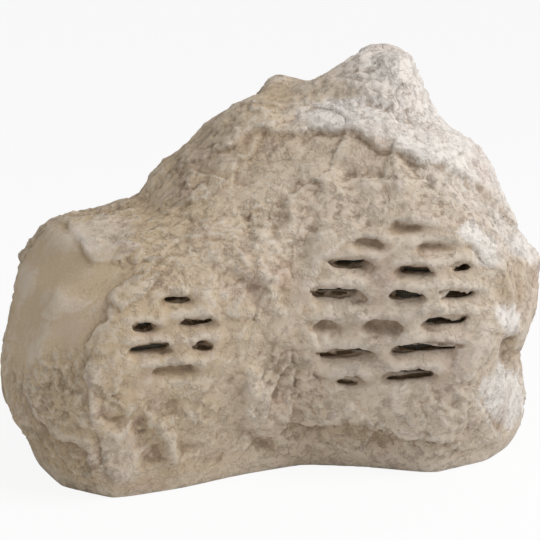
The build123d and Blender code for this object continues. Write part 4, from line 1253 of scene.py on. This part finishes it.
    def relief(self, points: np.ndarray, normals: np.ndarray) -> np.ndarray:
        """Heights of the sculpted relief over the softened form.

        Args:
            points: Places in metres.
            normals: Unit normals there.

        Returns:
            Millimetres along the normals.
        """
        spots = points / MM
        chart = self.view.chart(points)
        facing = smooth_steps(normals @ np.array(self.view.outwards), *self.facing_range)
        louvred = self.field_share(chart, self.louvre_fields) * facing
        wavy = chart + self.strays(spots)
        frayed = chart + self.brow_stray * (wavy - chart)
        heights = self.crust(spots, louvred, np.clip(self.shelter(chart), 0.0, 1.0) * facing)
        drawn = sum(line.heights(wavy) for line in self.relief_lines)
        heights += drawn * facing * (self.drawn_share + self.drawn.swell(spots))
        heights += sum(line.heights(frayed) for line in self.brow_lines + self.slit_lines) * facing
        foot = smooth_steps(spots[:, 2], self.rim_height, self.rim_height + self.rim_fade)
        return heights * foot + sum(swell.heights(spots) for swell in self.swells)

    def crust(self, spots: np.ndarray, louvred: np.ndarray, floors: np.ndarray) -> np.ndarray:
        """Heights of the lumps, chips, flakes, crumbs and drips all over the stone.

        Args:
            spots: Places in millimetres.
            louvred: 1 in the louvre fields to 0 off them.
            floors: 1 on the floors of the scoops to 0 off them.

        Returns:
            Millimetres along the normals.
        """
        calm = self.smoothness(spots)
        bent = self.bend.warp(spots)
        ragged = self.fray.warp(bent)
        patches = self.patches.swell(ragged) + self.small_patches.swell(ragged)
        crust = StoneNoise.terraces(patches, *self.crust_steps)
        flakes = StoneNoise.terraces(self.flakes.swell(ragged), *self.flake_steps)
        drips = self.drips.swell(ragged * np.array(self.drip_stretch))
        rough = smooth_steps(self.rough.swell(spots), *self.rough_range)
        plain = (1.0 - self.louvre_calm * louvred) * (1.0 - self.floor_calm * floors)
        plain = plain * (1.0 - self.face_calm * calm)
        still = 1.0 - self.louvre_still * louvred
        least, more = self.flake_share
        low, high = self.crumb_height
        heights = self.lumps.layered(bent) * still
        heights += self.broken.chips(bent) * still * (1.0 - self.face_still * calm)
        heights += self.chips.chips(ragged) * plain
        heights += self.crust_height * crust * plain
        heights += self.flake_height * flakes * plain * (least + more * rough)
        heights += (low + high * rough) * self.crumbs.layered(spots) * plain
        heights += drips * rough * plain
        return heights

    def shelter(self, chart: np.ndarray) -> np.ndarray:
        """How far chart places lie on the floor of a scoop."""
        return sum(line.underside(chart) for line in self.floor_lines)

    def smoothness(self, spots: np.ndarray) -> np.ndarray:
        """How far places in millimetres lie on the smooth left face: 1 in its middle, 0 off it."""
        away = np.linalg.norm(self.smooth_warp.warp(spots) - np.array(self.smooth_face), axis=1)
        first, last = (share * self.smooth_radius for share in self.smooth_edge)
        return 1.0 - smooth_steps(away, first, last)

    def strays(self, spots: np.ndarray) -> np.ndarray:
        """Chart units by which drawn lines stray at each place, so that no line is straight."""
        ways = []
        for seed in self.stray_seeds:
            layers = (Layer(*sizes, seed + step) for step, sizes in enumerate(self.stray_layers))
            ways.append(sum(layer.swell(spots) for layer in layers))
        return np.stack(ways, axis=1)

    def sculpt(self, piece: bpy.types.Object) -> None:
        """Move the skin by the relief, and the wall behind it along with it."""
        arrays = MeshArrays(piece.data)
        normals = arrays.blurred(arrays.normals(), self.normal_blur)
        rim_top = self.rim_height + self.rim_fade
        normals[:, 2] *= smooth_steps(arrays.places[:, 2] / MM, self.rim_height, rim_top)
        normals /= np.linalg.norm(normals, axis=1)[:, None].clip(TINY)
        chosen = np.nonzero(self.skin)[0]
        moves = np.zeros_like(arrays.places)
        heights = self.relief(arrays.places[chosen], normals[chosen])
        moves[chosen] = heights[:, None] * normals[chosen] * MM
        tree = KDTree(len(chosen))
        for index in chosen.tolist():
            tree.insert(arrays.places[index], index)
        tree.balance()
        low, high = self.wall_follow
        for index in np.nonzero(~self.skin)[0].tolist():
            _, nearest, distance = tree.find(arrays.places[index])
            share = 1.0 - min(max((distance / MM - low) / (high - low), 0.0), 1.0)
            moves[index] = moves[nearest] * share
        arrays.store(arrays.places + moves)

    def mark(self, piece: bpy.types.Object) -> None:
        """Store what the paint follows: relief, hollows and slits for painted shade, crust, warmth with its
        painted light, and brown painted shade.
        """
        arrays = MeshArrays(piece.data)
        normals = arrays.normals()
        spots = arrays.places / MM
        chart = self.view.chart(arrays.places)
        frayed = chart + self.paint_stray * self.strays(spots)
        lined = chart + self.ledge_stray * (frayed - chart)
        facing = smooth_steps(normals @ np.array(self.view.outwards), *self.paint_facing)
        shelter = self.shelter(chart)
        # Painted light: the coat is paler towards the upper right, where the light falls, and warmer to the
        # left, partly as the stone's own tone.
        warmth = 1.0 - smooth_steps(chart[:, 0], *self.warm_across)
        warmth = warmth - smooth_steps(chart[:, 0] - chart[:, 1], *self.lit_corner)
        # The pale ovals add painted highlights and the brown ovals painted shade.
        warmth += sum(oval.warmth * oval.share(frayed, self.paint_edge) for oval in self.paint_fields) * facing
        brown = sum(oval.brown * oval.share(frayed, self.paint_edge) for oval in self.paint_fields)
        # Painted shade: brown under every ledge and on the scoop floors under the brows.
        ledges = [line for line in self.relief_lines if line.stroke is Stroke.LEDGE]
        brown += sum(line.drop / self.ledge_drop * line.underside(lined) for line in ledges)
        brown += self.scoop_shade * shelter
        sheltered = np.maximum(self.smoothness(spots), np.clip(shelter, 0.0, 1.0) * facing)
        # Painted shade inside the slits, along the slit lines.
        cut = sum(line.heights(chart) / line.height for line in self.slit_lines)
        # Relief: tips take the dry brush and dents the wash, partly as painted highlight and painted shade.
        arrays.attribute("relief", self.fine_and_broad(arrays, normals))
        # Painted shade: the share of short rays that hit the rock darkens hollows and slits.
        arrays.attribute("hollow", arrays.blurred(self.shut_in(piece, arrays.places, normals), 1))
        arrays.attribute("warmth", warmth)
        arrays.attribute("brown", np.clip(brown, 0.0, 1.0) * facing)
        arrays.attribute("crusty", 1.0 - self.crust_loss * sheltered)
        arrays.attribute("slit", cut * (arrays.places[:, 1] < self.louvre_back))

    def fine_and_broad(self, arrays: MeshArrays, normals: np.ndarray) -> np.ndarray:
        """How far each vertex stands out of the skin round it: 1 on a tip, -1 in a dent."""
        near = arrays.blurred(arrays.places, self.fine_blur)
        wide = arrays.blurred(near, self.broad_blur)
        small = ((arrays.places - near) * normals).sum(axis=1) / MM
        broad = ((arrays.places - wide) * normals).sum(axis=1) / MM
        relief = np.clip(small / self.fine_relief, -1.0, 1.0) * self.fine_share
        relief = relief + np.clip(broad / self.broad_relief, -1.0, 1.0) * self.broad_share
        return np.clip(relief, -1.0, 1.0)

    def shut_in(self, piece: bpy.types.Object, places: np.ndarray, normals: np.ndarray) -> np.ndarray:
        """How much the rock shuts in each of its vertices, by short rays fanned out round the normal; the paint
        turns it into painted shade.

        Args:
            piece: The casting.
            places: Its vertices in metres.
            normals: Their unit normals.

        Returns:
            0 in the open to 1 inside a slit, one for each vertex.
        """
        tree = BVHTree.FromObject(piece, bpy.context.evaluated_depsgraph_get())
        level = np.abs(normals[:, 2:3]) < self.upright
        side = np.cross(normals, np.where(level, np.array([[0.0, 0.0, 1.0]]), np.array([[1.0, 0.0, 0.0]])))
        side /= np.linalg.norm(side, axis=1)[:, None].clip(TINY)
        other = np.cross(normals, side)
        starts = (places + normals * self.shade_lift * MM).tolist()
        hits = np.zeros(len(places))
        for step in range(self.shade_rays):
            turn = math.tau * step / self.shade_rays
            lean = self.shade_lean[step % len(self.shade_lean)]
            ways = math.cos(lean) * normals + math.sin(lean) * (math.cos(turn) * side + math.sin(turn) * other)
            for index, (start, way) in enumerate(zip(starts, ways.tolist())):
                if tree.ray_cast(start, way, self.shade_reach * MM)[0] is not None:
                    hits[index] += 1.0
        return hits / self.shade_rays


@dataclass
class Suspension:
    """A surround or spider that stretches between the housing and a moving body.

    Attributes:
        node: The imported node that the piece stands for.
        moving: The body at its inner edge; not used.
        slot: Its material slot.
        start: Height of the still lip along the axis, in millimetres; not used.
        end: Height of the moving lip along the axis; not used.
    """

    CREASE_DEGREES: ClassVar[float] = 40.0

    node: str
    moving: Body
    slot: str
    start: float
    end: float

    def build(self, material: bpy.types.Material) -> bpy.types.Object:
        """Make the piece.

        Args:
            material: Its finish.

        Returns:
            The finished piece.
        """
        piece = copy_of_node(self.node, self.node + "_sheet")
        make_active(piece)
        bpy.ops.object.shade_smooth_by_angle(angle=math.radians(self.CREASE_DEGREES))
        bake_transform(piece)
        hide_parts(self.node)
        piece.data.materials.append(material)
        return piece


SUSPENSIONS = (
    Suspension("woofer_surround", Body.WOOFER_CONE, "roll_rubber", -2.0, -6.0),
    Suspension("woofer_spider", Body.WOOFER_CONE, "spider_cloth", -38.0, -43.0),
    Suspension("tweeter_surround", Body.TWEETER_DOME, "roll_rubber", -7.4, -6.6),
)


@dataclass
class Studio:
    """A pale floor, a white surround, soft lamps and the camera."""

    view: Viewpoint
    floor_reach: float = 6.0
    floor_tone: Tone = (236, 236, 236)
    floor_shade: Tone = (228, 228, 228)
    floor_noise: Range = (3.0, 2.0, 0.5)
    floor_play: Range = (0.3, 0.7, 0.0, 0.1)
    floor_roughness: float = 0.9
    floor_white: float = 0.9
    white: Range = (1.0, 1.0, 1.0, 1.0)
    ambient: float = 0.40
    key_place: tuple[float, float, float] = (1.1, -0.5, 1.35)
    key_side: float = 1.0
    key_watts: float = 22.0
    fill_place: tuple[float, float, float] = (-1.1, -1.0, 0.7)
    fill_side: float = 1.4
    fill_watts: float = 2.8

    def build(self) -> None:
        """Set up the whole studio."""
        bpy.context.scene.view_settings.view_transform = "Standard"
        self.floor()
        self.world()
        self.lamp("key_lamp", self.key_place, self.key_side, self.key_watts)
        self.lamp("fill_lamp", self.fill_place, self.fill_side, self.fill_watts)
        self.camera()

    def floor(self) -> None:
        """Lay the floor, white to the eye and still shaded by the rock."""
        deselect_all()
        bpy.ops.mesh.primitive_plane_add(size=2.0 * self.floor_reach, location=(0.0, 0.0, 0.0))
        plane = bpy.context.object
        plane.name = "studio_floor"
        sketch = NodeSketch("studio_floor")
        tones = sketch.span(sketch.noise(*self.floor_noise), *self.floor_play)
        tint = sketch.blend(tones, colour(*self.floor_tone), colour(*self.floor_shade))
        sketch.fill(sketch.shader.inputs["Base Color"], tint)
        sketch.shader.inputs["Roughness"].default_value = self.floor_roughness
        seen = self.seen(sketch.tree)
        white = sketch.node("ShaderNodeEmission", Color=self.white, Strength=1.0)
        mixed = sketch.tree.nodes.new("ShaderNodeMixShader")
        sketch.fill(mixed.inputs[0], sketch.math("MULTIPLY", seen, self.floor_white))
        sketch.fill(mixed.inputs[1], sketch.shader.outputs["BSDF"])
        sketch.fill(mixed.inputs[2], white.outputs["Emission"])
        sketch.fill(sketch.tree.nodes["Material Output"].inputs["Surface"], mixed.outputs["Shader"])
        plane.data.materials.append(sketch.material)

    @staticmethod
    def seen(tree: bpy.types.NodeTree) -> bpy.types.NodeSocket:
        """1 where a ray comes from the camera, a mirror or glass, else 0."""
        path = tree.nodes.new("ShaderNodeLightPath")
        found = path.outputs["Is Camera Ray"]
        for kind in ("Is Glossy Ray", "Is Transmission Ray"):
            larger = tree.nodes.new("ShaderNodeMath")
            larger.operation = "MAXIMUM"
            tree.links.new(found, larger.inputs[0])
            tree.links.new(path.outputs[kind], larger.inputs[1])
            found = larger.outputs["Value"]
        return found

    def world(self) -> None:
        """White to the eye, and an even soft light on the rock."""
        world = bpy.data.worlds.new("studio_world")
        bpy.context.scene.world = world
        world.use_nodes = True
        tree = world.node_tree
        background = tree.nodes["Background"]
        background.inputs["Color"].default_value = self.white
        level = tree.nodes.new("ShaderNodeMapRange")
        level.inputs["To Min"].default_value = self.ambient
        level.inputs["To Max"].default_value = 1.0
        tree.links.new(self.seen(tree), level.inputs["Value"])
        tree.links.new(level.outputs["Result"], background.inputs["Strength"])

    def lamp(self, name: str, place: tuple[float, float, float], size: float, watts: float) -> None:
        """Hang one soft square lamp that points at the rock.

        Args:
            name: Its name.
            place: Where it hangs, in metres.
            size: Its side.
            watts: Its power.
        """
        deselect_all()
        bpy.ops.object.light_add(type="AREA", location=place)
        lamp = bpy.context.object
        lamp.name = name
        lamp.data.size = size
        lamp.data.energy = watts
        aim = Vector((0.0, 0.0, self.view.aim_height)) - Vector(place)
        lamp.rotation_euler = aim.to_track_quat("-Z", "Y").to_euler()

    def camera(self) -> None:
        """Stand the camera where the chart is drawn from."""
        data = bpy.data.cameras.new("studio_camera")
        data.lens = self.view.lens
        data.sensor_width = self.view.sensor
        camera = bpy.data.objects.new("studio_camera", data)
        bpy.context.scene.collection.objects.link(camera)
        aim = Vector((0.0, 0.0, self.view.aim_height))
        camera.location = aim + self.view.outwards * self.view.distance
        camera.rotation_euler = (-self.view.outwards).to_track_quat("-Z", "Y").to_euler()
        bpy.context.scene.camera = camera


def dress_nodes(materials: dict[str, bpy.types.Material]) -> None:
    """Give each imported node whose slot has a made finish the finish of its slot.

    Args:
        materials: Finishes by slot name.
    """
    for entry in frame["record"]["subparts"]:
        if entry["material_slot"] in materials:
            target = frame["nodes"][entry["node"]]
            target.data.materials.clear()
            target.data.materials.append(materials[entry["material_slot"]])
            LOG.info("dressed %s in %s", entry["node"], entry["material_slot"])


def main() -> None:
    """Build every piece, dress it and set up the studio."""
    logging.basicConfig(level=logging.INFO, format="%(name)s: %(message)s")
    view = Viewpoint()
    materials = {finish.slot: finish.material() for finish in FINISHES}
    dress_nodes(materials)
    casting = RockCasting(view).build()
    LOG.info("made %s", casting.name)
    for suspension in SUSPENSIONS:
        piece = suspension.build(materials[suspension.slot])
        LOG.info("made %s", piece.name)
    Studio(view).build()


if __name__ == "__main__":
    main()
